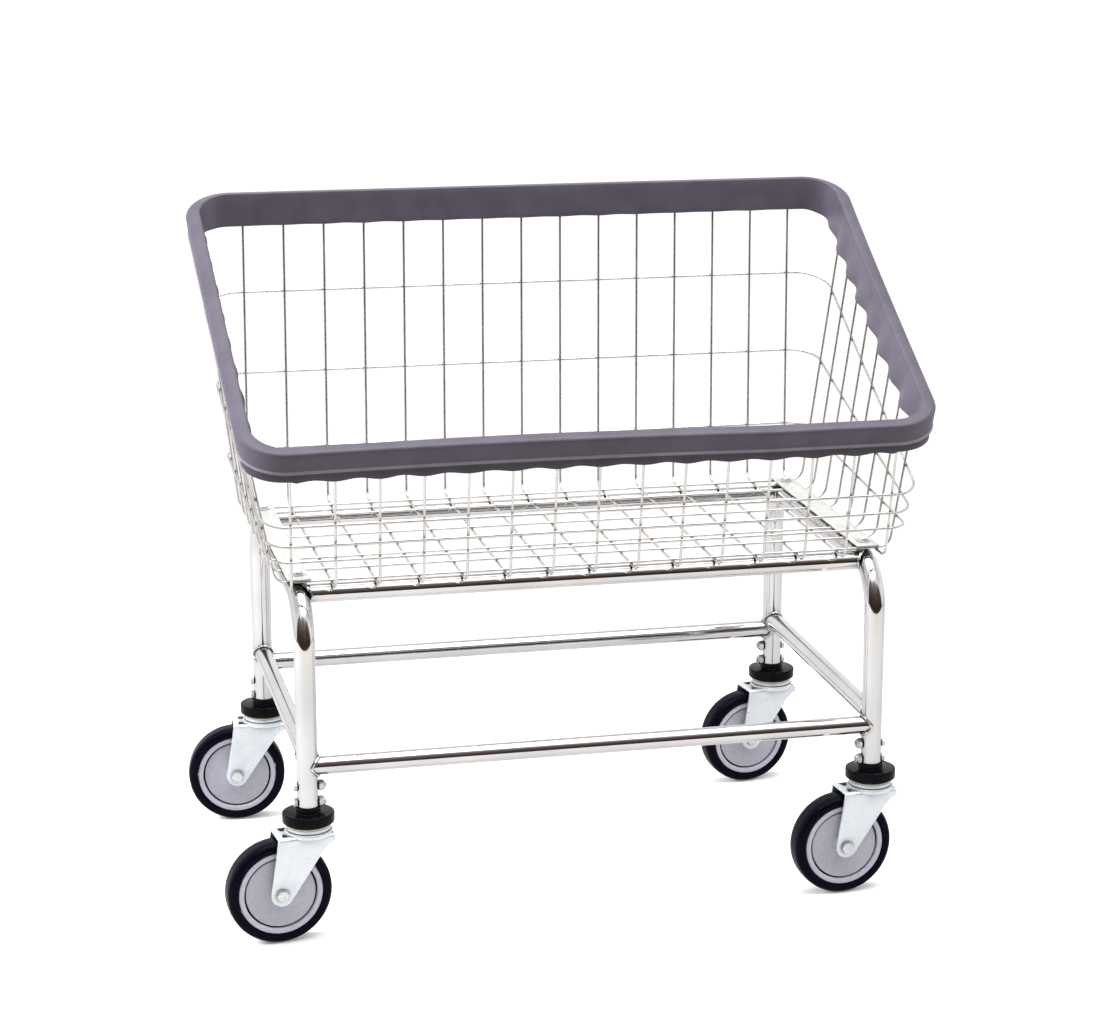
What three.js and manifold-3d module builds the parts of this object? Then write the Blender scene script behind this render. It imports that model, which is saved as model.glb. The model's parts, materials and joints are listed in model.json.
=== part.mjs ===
// A laundry cart: a welded wire basket with a slanted, padded rim, on a base of
// chromed tube with four swivel casters. Millimetres, +Z up. The basket is low at
// the front (-Y), where the laundry is lifted out, and high at the back (+Y).
import * as THREE from "three";
import { mergeVertices } from "three/addons/utils/BufferGeometryUtils.js";
import Module from "manifold-3d";

const wasm = await Module();
wasm.setup();

const FIT_GAP = 0.3; // between pieces that touch
const v3 = (x, y, z) => new THREE.Vector3(x, y, z);

// Base frame: two hoops (inverted U) joined by rails.
const LEG_X = 351.3;
const LEG_Y = 215;
const LEG_FOOT_Z = 161.8;
const HOOP_RADIUS = 12.7;
const HOOP_BORE = 11.3;
const HOOP_TOP_Z = 415.5; // centre line of the hoop's top
const HOOP_BEND = 57;
const RAIL_RADIUS = 11.1;
const RAIL_BORE = 9.6;
const TOP_RAIL_Y = 176;
const TOP_RAIL_Z = 414.8;
const LOW_RAIL_Z = 213.8;
const SIDE_RAIL_Z = 227;
const RAIL_END_X = LEG_X - 3;
const TUBE_SIDES = 12;

// Basket: bent crosswise and lengthwise wires, three bands and a rim wire.
const WIRE_RADIUS = 1.6;
const WIRE_SIDES = 6;
const WIRE_BEND = 16;
const PITCH = 52;
const CROSS_WIRES = 15; // in planes across the cart, front wall to back wall
const LENGTH_WIRES = 8; // in planes along the cart, left wall to right wall
const CROSS_Z = TOP_RAIL_Z + RAIL_RADIUS + FIT_GAP + WIRE_RADIUS;
const LENGTH_Z = CROSS_Z + 2 * WIRE_RADIUS + FIT_GAP;
const FLOOR_HALF_X = 379;
const FLOOR_FRONT_Y = -211.5;
const FLOOR_BACK_Y = 214.4;
const RIM = { frontY: -254, frontZ: 594, backY: 238, backZ: 821.5, frontX: 410, backX: 430.5 };
const RIM_WIRE_RADIUS = 3.2;
const RIM_BEND = 48;
const RING_ARC_STEPS = 4;
const BANDS = [
  { frontZ: 510.8, backZ: 705.5, frontBend: 30, backBend: 44 },
  { frontZ: 486.4, backZ: 601.2, frontBend: 26, backBend: 38 },
  { frontZ: 466.2, backZ: 501.6, frontBend: 24, backBend: 26 },
];

// Rim bumper: one length of vinyl channel pushed over the rim wire, its ends butted
// together on the left side.
const BUMPER_HALF_WIDTH = 9.5;
const BUMPER_TOP = 12; // above the rim wire's centre
const BUMPER_BAND = 17; // below it, on the outer side
const BUMPER_SKIRT = 27; // below it, the thin lip
const BUMPER_LIP_INSET = 1.5;
const BUMPER_JOINT_Y = 27;
const BUMPER_JOINT_GAP = 1;

// Hold-down strips over the basket floor, bolted through the hoops.
const STRIP = { width: 28, thickness: 2, halfLength: 186, screwY: 163 };
const STRIP_Z = LENGTH_Z + WIRE_RADIUS + FIT_GAP;

// Fasteners: hexagon sizes are corner radii.
const LEG_BOLT = { shank: 3, head: 6, headHeight: 4, nut: 7, nutHeight: 7, tail: 2 };
const STRIP_SCREW = { shank: 3, head: 6.5, headHeight: 4, tip: 1.8, point: 3 };
const AXLE_BOLT = { shank: 4, head: 7.5, headHeight: 4.5, nut: 7.5, nutHeight: 6.5, tail: 2.5 };
const LEG_BOLT_HEIGHTS = { lower: 169.5, upper: 189.5 };
const HOLE_GAP = 0.4;

// Caster.
const WHEEL_RADIUS = 63.5;
const TRAIL = 38.4;
const TYRE = { halfWidth: 16, inner: 51.3 };
const HUB = { outer: 51, rimInner: 45, bore: 6.3, boss: 11, halfBoss: 18.8, halfRim: 14.5, halfDisc: 12.5 };
const SLEEVE = { outer: 6, bore: 4.4 };
const CHEEK = { inner: 19.5, thickness: 3 };
const FORK_TOP_Z = 136.6;
const FORK_PLATE_Z = 134;
const FORK_CROWN_RADIUS = 29;
const KINGPIN_RADIUS = 6.8;
const STEM = { radius: 10.6, top: 262, headRadius: 10.5, headHeight: 4 };
const RACEWAY = { radius: 27, height: 8 };
const BUMPER_RING = { radius: 31.5, top: 157.8, bossRadius: 16, bossHeight: 3.4, bore: 11.1 };
const LATHE_SEGMENTS = 20;
const SMALL_SEGMENTS = 12;

const materials = {
  chrome: { color: 0xe4e2e0, roughness: 0.14, metalness: 1 },
  zinc: { color: 0xdfe6ea, roughness: 0.35, metalness: 0.9 },
  yellowZinc: { color: 0xcfc7a6, roughness: 0.4, metalness: 0.9 },
  galvanised: { color: 0xc9ccc8, roughness: 0.5, metalness: 0.8 },
  vinyl: { color: 0x4e4a54, roughness: 0.6, metalness: 0 },
  blackPlastic: { color: 0x141418, roughness: 0.3, metalness: 0 },
  hubPlastic: { color: 0xa5a5af, roughness: 0.45, metalness: 0 },
  rubber: { color: 0x17161c, roughness: 0.5, metalness: 0 },
};

// ---- solids ------------------------------------------------------------------

function toSolid(geometry) {
  const bare = new THREE.BufferGeometry();
  bare.setAttribute("position", geometry.getAttribute("position"));
  if (geometry.index) bare.setIndex(geometry.index);
  const merged = mergeVertices(bare, 1e-4);
  return new wasm.Manifold(
    new wasm.Mesh({
      numProp: 3,
      vertProperties: Float32Array.from(merged.attributes.position.array),
      triVerts: Uint32Array.from(merged.index.array),
    }),
  );
}

function toGeometry(solid) {
  const mesh = solid.getMesh();
  const geometry = new THREE.BufferGeometry();
  geometry.setAttribute("position", new THREE.BufferAttribute(mesh.vertProperties, 3));
  geometry.setIndex(new THREE.BufferAttribute(mesh.triVerts, 1));
  geometry.computeVertexNormals();
  return geometry;
}

const join = (geometries) =>
  toGeometry(geometries.map(toSolid).reduce((sum, next) => sum.add(next)));

const cut = (geometry, tools) =>
  toGeometry(tools.map(toSolid).reduce((rest, tool) => rest.subtract(tool), toSolid(geometry)));

function makePiece(name, geometry, look) {
  const piece = new THREE.Mesh(geometry, new THREE.MeshStandardMaterial(materials[look]));
  piece.name = name;
  return piece;
}

// ---- bent tubes and wires --------------------------------------------------------

const STRAIGHT = 1.5; // half of a corner's angle, in radians, from where it needs no arc

// Rounds the inner corners of a polyline, each to radiusAt(corner), in arcSteps
// segments. A corner that hardly turns is kept as it is.
function roundedPath(corners, radiusAt, arcSteps) {
  const path = [];
  corners.forEach((corner, i) => {
    const isEnd = i === 0 || i === corners.length - 1;
    const before = corners[isEnd ? 0 : i - 1].clone().sub(corner).normalize();
    const after = corners[isEnd ? 0 : i + 1].clone().sub(corner).normalize();
    const halfAngle = before.angleTo(after) / 2;
    if (isEnd || halfAngle > STRAIGHT) {
      path.push(corner.clone());
      return;
    }
    const radius = radiusAt(corner);
    const bisector = before.clone().add(after).normalize();
    const centre = corner.clone().addScaledVector(bisector, radius / Math.sin(halfAngle));
    const cutBack = radius / Math.tan(halfAngle);
    const start = corner.clone().addScaledVector(before, cutBack).sub(centre);
    const end = corner.clone().addScaledVector(after, cutBack).sub(centre);
    const sweepAngle = Math.PI - 2 * halfAngle;
    const axis = start.clone().cross(end).normalize();
    for (let step = 0; step <= arcSteps; step += 1) {
      const spoke = start.clone().applyAxisAngle(axis, (sweepAngle * step) / arcSteps);
      path.push(centre.clone().add(spoke));
    }
  });
  return path;
}

// A bent centre line. A section's y leans towards upAt(point), and its x goes to the
// left of the line's direction.
class BentPath extends THREE.Curve {
  constructor(points, upAt) {
    super();
    this.points = points;
    this.upAt = upAt;
  }

  getSpacedPoints() {
    return this.points;
  }

  computeFrenetFrames() {
    const tangents = this.points.map((point, i) => this.directionAt(i));
    const binormals = this.points.map((point, i) => {
      const up = this.upAt(point).clone();
      return up.addScaledVector(tangents[i], -up.dot(tangents[i])).normalize();
    });
    const normals = binormals.map((up, i) => up.clone().cross(tangents[i]));
    return { tangents, normals, binormals };
  }

  // The mean direction of the two stretches that meet at a point.
  directionAt(i) {
    const point = this.points[i];
    const last = this.points[i - 1] ?? point;
    const next = this.points[i + 1] ?? point;
    const incoming = point.clone().sub(last).normalize();
    const outgoing = next.clone().sub(point).normalize();
    return incoming.add(outgoing).normalize();
  }
}

function extrudeAlong(section, points, upAt, curveSegments) {
  return new THREE.ExtrudeGeometry(section, {
    steps: points.length - 1,
    curveSegments,
    extrudePath: new BentPath(points, upAt),
  });
}

const facingX = () => v3(1, 0, 0);
const facingY = () => v3(0, 1, 0);
const facingUp = () => v3(0, 0, 1);

const disc = (radius) => new THREE.Shape().absarc(0, 0, radius, 0, 2 * Math.PI);

const rod = (points, radius, upAt, sides = TUBE_SIDES) =>
  extrudeAlong(disc(radius), points, upAt, sides / 2);

function tube(points, radius, bore, upAt) {
  const section = disc(radius);
  section.holes.push(disc(bore));
  return extrudeAlong(section, points, upAt, TUBE_SIDES / 2);
}

// Turns [radius, height] pairs about Z. A profile off the axis is closed on itself.
// The facets start half a step round, so that a wheel stands on a facet.
function turned(profile, segments = LATHE_SEGMENTS) {
  const closed = profile[0][0] > 0 ? [...profile, profile[0]] : profile;
  const points = closed.map(([radius, height]) => new THREE.Vector2(radius, height));
  return new THREE.LatheGeometry(points, segments, Math.PI / segments).rotateX(Math.PI / 2);
}

// A bolt with its nut, along +Z: the head sits below z = 0 and the nut above grip.
function boltAndNut({ shank, head, headHeight, nut, nutHeight, tail }, grip) {
  return turned(
    [
      [0, -headHeight],
      [head, -headHeight],
      [head, 0],
      [shank, 0],
      [shank, grip],
      [nut, grip],
      [nut, grip + nutHeight],
      [shank, grip + nutHeight],
      [shank, grip + nutHeight + tail],
      [0, grip + nutHeight + tail],
    ],
    6,
  );
}

// A screw along -Z: its head stands on z = 0 and its point is at -length.
function screw({ shank, head, headHeight, tip, point }, length) {
  return turned(
    [
      [0, -length],
      [tip, -length],
      [shank, point - length],
      [shank, 0],
      [head, 0],
      [head, headHeight],
      [0, headHeight],
    ],
    6,
  );
}

const drill = (from, to, shank) =>
  rod([from, to], shank + HOLE_GAP, from.x === to.x ? facingX : facingUp, 8);

// ---- base frame -----------------------------------------------------------------

const SIDES = [
  { side: "left", x: -LEG_X, inward: 1 },
  { side: "right", x: LEG_X, inward: -1 },
];
const ENDS = [
  { end: "front", y: -LEG_Y, sign: -1 },
  { end: "back", y: LEG_Y, sign: 1 },
];

function hoopPath(x) {
  const corners = [
    v3(x, -LEG_Y, LEG_FOOT_Z),
    v3(x, -LEG_Y, HOOP_TOP_Z),
    v3(x, LEG_Y, HOOP_TOP_Z),
    v3(x, LEG_Y, LEG_FOOT_Z),
  ];
  return roundedPath(corners, () => HOOP_BEND, 5);
}

function legBoltDrills(x, y) {
  return Object.values(LEG_BOLT_HEIGHTS).map((z) =>
    drill(v3(x - 2 * HOOP_RADIUS, y, z), v3(x + 2 * HOOP_RADIUS, y, z), LEG_BOLT.shank),
  );
}

function stripScrewDrill(x, sign) {
  const y = sign * STRIP.screwY;
  return drill(v3(x, y, HOOP_TOP_Z), v3(x, y, STRIP_Z + 2 * STRIP.thickness), STRIP_SCREW.shank);
}

function hoop(x) {
  const drills = ENDS.flatMap(({ y, sign }) => [...legBoltDrills(x, y), stripScrewDrill(x, sign)]);
  return cut(tube(hoopPath(x), HOOP_RADIUS, HOOP_BORE, facingX), drills);
}

const hoopEnvelope = (x) => rod(hoopPath(x), HOOP_RADIUS + FIT_GAP, facingX);

// A rail is coped to the round of the tubes that it is welded to.
function lengthRail(y, z) {
  const rail = tube([v3(-RAIL_END_X, y, z), v3(RAIL_END_X, y, z)], RAIL_RADIUS, RAIL_BORE, facingUp);
  return cut(rail, SIDES.map(({ x }) => hoopEnvelope(x)));
}

function sideRail(x) {
  const ends = ENDS.map(({ y }) => v3(x, y, SIDE_RAIL_Z));
  return cut(tube(ends, RAIL_RADIUS, RAIL_BORE, facingUp), [hoopEnvelope(x)]);
}

// ---- basket ---------------------------------------------------------------------

const mix = (a, b, t) => a + (b - a) * t;
const rimShare = (y) => (y - RIM.frontY) / (RIM.backY - RIM.frontY);
const rimZ = (y) => mix(RIM.frontZ, RIM.backZ, rimShare(y));
const rimX = (y) => mix(RIM.frontX, RIM.backX, rimShare(y));

// How far a band's centre is from the centres of the wires that it crosses.
const CLEAR_OF_WALL = 2 * WIRE_RADIUS + FIT_GAP;
const WELDED_TO_WALL = 2 * WIRE_RADIUS - 0.8;
const FRONT_LEAN = Math.atan2(FLOOR_FRONT_Y - RIM.frontY, RIM.frontZ - CROSS_Z);

// Where the walls stand at a height: the line from the floor's edge to the rim.
const frontWallY = (z) => mix(FLOOR_FRONT_Y, RIM.frontY, (z - CROSS_Z) / (RIM.frontZ - CROSS_Z));
const backWallY = (z) => mix(FLOOR_BACK_Y, RIM.backY, (z - CROSS_Z) / (RIM.backZ - CROSS_Z));
const sideWallX = (y, z) => mix(FLOOR_HALF_X, rimX(y), (z - LENGTH_Z) / (rimZ(y) - LENGTH_Z));

const centred = (count) => Array.from({ length: count }, (_, k) => (k - (count - 1) / 2) * PITCH);

const wallWire = (corners, upAt) =>
  rod(roundedPath(corners, () => WIRE_BEND, 2), WIRE_RADIUS, upAt, WIRE_SIDES);

function crosswiseWire(x) {
  const corners = [
    v3(x, RIM.frontY, RIM.frontZ),
    v3(x, FLOOR_FRONT_Y, CROSS_Z),
    v3(x, FLOOR_BACK_Y, CROSS_Z),
    v3(x, RIM.backY, RIM.backZ),
  ];
  return wallWire(corners, facingX);
}

function lengthwiseWire(y) {
  const endZ = rimZ(y) - RIM_WIRE_RADIUS - 3;
  const endX = sideWallX(y, endZ);
  const corners = [
    v3(-endX, y, endZ),
    v3(-FLOOR_HALF_X, y, LENGTH_Z),
    v3(FLOOR_HALF_X, y, LENGTH_Z),
    v3(endX, y, endZ),
  ];
  return wallWire(corners, facingY);
}

const mirrorX = ({ x, y, z }) => v3(-x, y, z);

// A closed wire ring, as its right half and its left half, from the right half's
// corners between its front and back middles.
function ringHalves(corners, radiusAt, radius, sides) {
  const frontMiddle = v3(0, corners[0].y, corners[0].z);
  const backMiddle = v3(0, corners.at(-1).y, corners.at(-1).z);
  const right = roundedPath([frontMiddle, ...corners, backMiddle], radiusAt, RING_ARC_STEPS);
  const left = right.map(mirrorX).reverse();
  return [right, left].map((half) => rod(half, radius, facingUp, sides));
}

const RIM_CORNERS = [v3(RIM.frontX, RIM.frontY, RIM.frontZ), v3(RIM.backX, RIM.backY, RIM.backZ)];

const rimWire = () => ringHalves(RIM_CORNERS, () => RIM_BEND, RIM_WIRE_RADIUS, 8);

// A band runs round the outside of the walls and rises towards the back.
function band({ frontZ, backZ, frontBend, backBend }, sideStandOff) {
  const frontY = frontWallY(frontZ) - CLEAR_OF_WALL / Math.cos(FRONT_LEAN);
  const backY = backWallY(backZ) + CLEAR_OF_WALL;
  const rows = centred(LENGTH_WIRES).map((y) => {
    const z = mix(frontZ, backZ, (y - frontY) / (backY - frontY));
    return v3(sideWallX(y, z) + sideStandOff, y, z);
  });
  const lean = rows[1].clone().sub(rows[0]);
  const frontCorner = rows[0].clone().addScaledVector(lean, (frontY - rows[0].y) / lean.y);
  const tail = rows[rows.length - 1];
  const backCorner = tail.clone().addScaledVector(lean, (backY - tail.y) / lean.y);
  const bendAt = (corner) => (corner.y < 0 ? frontBend : backBend);
  return ringHalves([frontCorner, ...rows, backCorner], bendAt, WIRE_RADIUS, WIRE_SIDES);
}

// ---- rim bumper -------------------------------------------------------------------

// The channel's section round the rim wire, x inward and y up. It is open below,
// where the wall wires come out.
function bumperSection() {
  const w = BUMPER_HALF_WIDTH;
  const round = 6;
  const lip = w - BUMPER_LIP_INSET;
  const slot = RIM_WIRE_RADIUS + 2 * FIT_GAP;
  const section = new THREE.Shape();
  section.moveTo(w, -BUMPER_SKIRT);
  section.lineTo(w, BUMPER_TOP - round);
  section.absarc(w - round, BUMPER_TOP - round, round, 0, Math.PI / 2);
  section.absarc(round - w, BUMPER_TOP - round, round, Math.PI / 2, Math.PI);
  section.lineTo(-w, -BUMPER_BAND);
  section.lineTo(-lip, -BUMPER_BAND - BUMPER_LIP_INSET);
  section.lineTo(-lip, -BUMPER_SKIRT);
  section.lineTo(-slot, -BUMPER_SKIRT);
  section.lineTo(-slot, slot);
  section.lineTo(slot, slot);
  section.lineTo(slot, -BUMPER_SKIRT);
  return section;
}

// The channel leans with the wall under it, from the floor's edge to the rim.
const bumperUp = ({ x, y, z }) =>
  v3(
    x - THREE.MathUtils.clamp(x, -FLOOR_HALF_X, FLOOR_HALF_X),
    y - THREE.MathUtils.clamp(y, FLOOR_FRONT_Y, FLOOR_BACK_Y),
    z - CROSS_Z,
  );

function rimBumper() {
  const [frontRight, backRight] = RIM_CORNERS;
  const endAt = (y) => v3(-rimX(y), y, rimZ(y));
  const corners = [
    endAt(BUMPER_JOINT_Y),
    mirrorX(frontRight),
    frontRight,
    backRight,
    mirrorX(backRight),
    endAt(BUMPER_JOINT_Y + BUMPER_JOINT_GAP),
  ];
  return extrudeAlong(bumperSection(), roundedPath(corners, () => RIM_BEND, RING_ARC_STEPS), bumperUp, 1);
}

// ---- hold-down strips ---------------------------------------------------------------

function holdDownStrip(x) {
  const { width, thickness, halfLength } = STRIP;
  const plate = new THREE.BoxGeometry(width, 2 * halfLength, thickness);
  plate.translate(x, 0, STRIP_Z + thickness / 2);
  return cut(plate, ENDS.map(({ sign }) => stripScrewDrill(x, sign)));
}

// The screw passes the strip and the tube's top wall, and ends inside the tube.
function stripScrew(x, sign) {
  const headZ = STRIP_Z + STRIP.thickness + FIT_GAP;
  return screw(STRIP_SCREW, headZ - HOOP_TOP_Z - 2).translate(x, sign * STRIP.screwY, headZ);
}

// A leg bolt's head is on the cart's outer side and its nut on the inner side.
function legBolt(x, y, z, inward) {
  const reach = HOOP_RADIUS + FIT_GAP;
  return boltAndNut(LEG_BOLT, 2 * reach)
    .rotateY((inward * Math.PI) / 2)
    .translate(x - inward * reach, y, z);
}

// ---- caster: swivel axis on Z, trailing towards -X ------------------------------------

const RING_FOOT_Z = FORK_TOP_Z + RACEWAY.height + 2 * FIT_GAP;

function stem() {
  const shoulder = RING_FOOT_Z;
  const underFork = FORK_PLATE_Z - CHEEK.thickness - FIT_GAP;
  const body = turned(
    [
      [0, underFork - STEM.headHeight],
      [STEM.headRadius, underFork - STEM.headHeight],
      [STEM.headRadius, underFork],
      [KINGPIN_RADIUS, underFork],
      [KINGPIN_RADIUS, shoulder],
      [STEM.radius, shoulder],
      [STEM.radius, STEM.top - 3],
      [STEM.radius - 3, STEM.top],
      [0, STEM.top],
    ],
    SMALL_SEGMENTS,
  );
  return cut(body, legBoltDrills(0, 0));
}

function bumperRing() {
  const { radius, top, bossRadius, bossHeight, bore } = BUMPER_RING;
  return turned([
    [bore, RING_FOOT_Z],
    [radius, RING_FOOT_Z],
    [radius, top - 1.5],
    [radius - 1.5, top],
    [bossRadius, top],
    [bossRadius, top + bossHeight],
    [bore, top + bossHeight],
  ]);
}

function raceway() {
  const foot = FORK_TOP_Z + FIT_GAP;
  const bore = KINGPIN_RADIUS + HOLE_GAP;
  return turned([
    [bore, foot],
    [RACEWAY.radius - 2, foot],
    [RACEWAY.radius, foot + RACEWAY.height / 2],
    [RACEWAY.radius - 2, foot + RACEWAY.height],
    [bore, foot + RACEWAY.height],
  ]);
}

// One cheek of the fork, seen from the side, in [x, z].
function cheekShape() {
  const shape = new THREE.Shape();
  shape.moveTo(-41, FORK_PLATE_Z);
  shape.lineTo(-TRAIL - 13.4, WHEEL_RADIUS + 2);
  shape.absarc(-TRAIL, WHEEL_RADIUS, 13.5, Math.PI, 0.82 + 1.5 * Math.PI, false);
  shape.lineTo(11, 112);
  shape.quadraticCurveTo(18, 122, 27, 126);
  shape.lineTo(27, FORK_PLATE_Z);
  shape.closePath();
  return shape;
}

function forkCheek(sign) {
  const depth = CHEEK.thickness;
  const plate = new THREE.ExtrudeGeometry(cheekShape(), { depth, bevelEnabled: false, curveSegments: 6 });
  const outerFace = sign > 0 ? CHEEK.inner + depth : -CHEEK.inner;
  return plate.rotateX(Math.PI / 2).translate(0, outerFace, 0);
}

function fork() {
  const halfWidth = CHEEK.inner + CHEEK.thickness;
  const plate = new THREE.BoxGeometry(69, 2 * halfWidth, CHEEK.thickness);
  plate.translate(-7.5, 0, FORK_PLATE_Z - CHEEK.thickness / 2);
  const crownFoot = FORK_PLATE_Z - CHEEK.thickness;
  const crown = turned([
    [0, crownFoot],
    [FORK_CROWN_RADIUS, crownFoot],
    [FORK_CROWN_RADIUS - 1.5, FORK_TOP_Z],
    [0, FORK_TOP_Z],
  ]);
  const body = join([plate, crown, forkCheek(1), forkCheek(-1)]);
  const swivelHole = rod([v3(0, 0, 120), v3(0, 0, 145)], KINGPIN_RADIUS + HOLE_GAP, facingX);
  const axleHole = rod(
    [v3(-TRAIL, -30, WHEEL_RADIUS), v3(-TRAIL, 30, WHEEL_RADIUS)],
    AXLE_BOLT.shank + HOLE_GAP,
    facingUp,
    8,
  );
  return cut(body, [swivelHole, axleHole]);
}

// The axle's pieces and the wheel are turned about Z, then laid along Y.
const onAxle = (geometry) => geometry.rotateX(-Math.PI / 2).translate(-TRAIL, 0, WHEEL_RADIUS);

function axleBolt() {
  const reach = CHEEK.inner + CHEEK.thickness + FIT_GAP;
  return onAxle(boltAndNut(AXLE_BOLT, 2 * reach).translate(0, 0, -reach));
}

function axleSleeve() {
  const half = CHEEK.inner - FIT_GAP;
  const { outer, bore } = SLEEVE;
  const profile = [
    [bore, -half],
    [outer, -half],
    [outer, half],
    [bore, half],
  ];
  return onAxle(turned(profile, SMALL_SEGMENTS));
}

function mirrored(half) {
  const other = half.map(([radius, height]) => [radius, -height]).reverse();
  return [...other, ...half];
}

function hub() {
  const { outer, rimInner, bore, boss, halfBoss, halfRim, halfDisc } = HUB;
  const half = [
    [outer, halfRim],
    [rimInner, halfRim],
    [rimInner - 1, halfDisc],
    [boss + 3, halfDisc],
    [boss, halfBoss],
    [bore, halfBoss],
  ];
  return onAxle(turned(mirrored(half)));
}

// The facets of the tread touch the true circle of the wheel from outside.
function tyre() {
  const { inner, halfWidth } = TYRE;
  const tread = WHEEL_RADIUS / Math.cos(Math.PI / LATHE_SEGMENTS);
  const half = [
    [tread, 4],
    [tread - 1.6, 10],
    [tread - 6, halfWidth - 1.6],
    [inner + 3, halfWidth],
    [inner, halfWidth - 1],
  ];
  return onAxle(turned(mirrored(half)));
}

const CASTERS = [
  { place: "front_left", x: -LEG_X, y: -LEG_Y, inward: 1, turn: 5.7 },
  { place: "front_right", x: LEG_X, y: -LEG_Y, inward: -1, turn: 4.3 },
  { place: "back_left", x: -LEG_X, y: LEG_Y, inward: 1, turn: -4.3 },
  { place: "back_right", x: LEG_X, y: LEG_Y, inward: -1, turn: 8.1 },
];

function caster({ place, x, y, turn }) {
  const fixed = new THREE.Group();
  fixed.add(makePiece(`${place}_stem`, stem(), "zinc"));
  fixed.add(makePiece(`${place}_bumper_ring`, bumperRing(), "blackPlastic"));
  fixed.add(makePiece(`${place}_raceway`, raceway(), "yellowZinc"));
  const swivel = new THREE.Group();
  swivel.rotation.z = THREE.MathUtils.degToRad(turn);
  swivel.add(makePiece(`${place}_fork`, fork(), "zinc"));
  swivel.add(makePiece(`${place}_axle_bolt`, axleBolt(), "zinc"));
  swivel.add(makePiece(`${place}_axle_sleeve`, axleSleeve(), "zinc"));
  swivel.add(makePiece(`${place}_hub`, hub(), "hubPlastic"));
  swivel.add(makePiece(`${place}_tyre`, tyre(), "rubber"));
  const group = new THREE.Group();
  group.add(fixed, swivel);
  group.position.set(x, y, 0);
  return group;
}

// ---- the cart -------------------------------------------------------------------------

function baseFrame() {
  const group = new THREE.Group();
  for (const { side, x } of SIDES) {
    group.add(makePiece(`${side}_hoop`, hoop(x), "chrome"));
    group.add(makePiece(`${side}_side_rail`, sideRail(x), "chrome"));
  }
  for (const { end, y, sign } of ENDS) {
    group.add(makePiece(`${end}_top_rail`, lengthRail(sign * TOP_RAIL_Y, TOP_RAIL_Z), "chrome"));
    group.add(makePiece(`${end}_lower_rail`, lengthRail(y, LOW_RAIL_Z), "chrome"));
  }
  return group;
}

function basket() {
  const [upper, middle, lower] = BANDS;
  const crosswise = [...rimWire(), ...centred(CROSS_WIRES).map(crosswiseWire)];
  const lengthwise = [...band(upper, WELDED_TO_WALL), ...centred(LENGTH_WIRES).map(lengthwiseWire)];
  const group = new THREE.Group();
  group.add(makePiece("basket_crosswise_wires", join(crosswise), "chrome"));
  group.add(makePiece("basket_lengthwise_wires", join(lengthwise), "chrome"));
  group.add(makePiece("basket_middle_band", join(band(middle, CLEAR_OF_WALL)), "chrome"));
  group.add(makePiece("basket_lower_band", join(band(lower, CLEAR_OF_WALL)), "chrome"));
  group.add(makePiece("rim_bumper", rimBumper(), "vinyl"));
  return group;
}

function fastenings() {
  const group = new THREE.Group();
  for (const { side, x, inward } of SIDES) {
    group.add(makePiece(`${side}_hold_down_strip`, holdDownStrip(x), "galvanised"));
    for (const { end, y, sign } of ENDS) {
      group.add(makePiece(`${end}_${side}_strip_screw`, stripScrew(x, sign), "zinc"));
      for (const [level, z] of Object.entries(LEG_BOLT_HEIGHTS)) {
        const bolt = legBolt(x, y, z, inward);
        group.add(makePiece(`${end}_${side}_${level}_leg_bolt`, bolt, "zinc"));
      }
    }
  }
  return group;
}

const cart = new THREE.Group();
cart.add(baseFrame(), basket(), fastenings(), ...CASTERS.map(caster));

// The frame's origin is the middle of the cart's box, on the floor.
const box = new THREE.Box3().setFromObject(cart);
const middle = box.getCenter(v3(0, 0, 0));
cart.position.set(-middle.x, -middle.y, -box.min.z);

export default cart;
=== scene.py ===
"""A laundry cart: a slanted wire basket with a padded rim, on a base of chromed tube
with four swivel casters. Metres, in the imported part's own frame: +Z up, and the low
side of the basket towards -Y.
"""

import json
import math

import bmesh
import bpy
from mathutils import Matrix, Vector, noise


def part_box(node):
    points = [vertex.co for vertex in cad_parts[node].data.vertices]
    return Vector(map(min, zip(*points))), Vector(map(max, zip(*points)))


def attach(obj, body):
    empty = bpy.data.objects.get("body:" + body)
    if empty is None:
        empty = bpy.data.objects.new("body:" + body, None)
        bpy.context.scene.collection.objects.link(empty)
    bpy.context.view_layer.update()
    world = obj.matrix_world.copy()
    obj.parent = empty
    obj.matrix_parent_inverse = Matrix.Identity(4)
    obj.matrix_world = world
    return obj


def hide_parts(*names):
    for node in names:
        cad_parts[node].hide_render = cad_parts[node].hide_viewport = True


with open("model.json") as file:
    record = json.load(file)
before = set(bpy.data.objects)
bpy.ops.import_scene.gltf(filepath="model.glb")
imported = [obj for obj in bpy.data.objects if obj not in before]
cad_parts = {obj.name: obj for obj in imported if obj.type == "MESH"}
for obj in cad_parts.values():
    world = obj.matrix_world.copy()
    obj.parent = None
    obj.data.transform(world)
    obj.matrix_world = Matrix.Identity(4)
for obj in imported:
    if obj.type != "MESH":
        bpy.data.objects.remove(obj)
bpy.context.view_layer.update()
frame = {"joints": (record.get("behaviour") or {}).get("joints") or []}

# ---- places and sizes ----

JOINTS = {joint["name"]: joint for joint in frame["joints"]}
PLACES = ("front_left", "front_right", "back_left", "back_right")
LEGS = {place: Vector(JOINTS[place + "_swivel_turn"]["pos_m"]).to_2d() for place in PLACES}
MIDDLE = (LEGS["front_left"] + LEGS["back_right"]) / 2
LEG_X = LEGS["back_right"].x - MIDDLE.x
LEG_Y = LEGS["back_right"].y - MIDDLE.y
CART = Matrix.Translation((MIDDLE.x, MIDDLE.y, 0))  # the cart's own axes, midway between the legs
SIDES = {"left": -1, "right": 1}
ENDS = {"front": -1, "back": 1}


def low(node, axis):
    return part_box(node)[0][axis]


def high(node, axis):
    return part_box(node)[1][axis]


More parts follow.
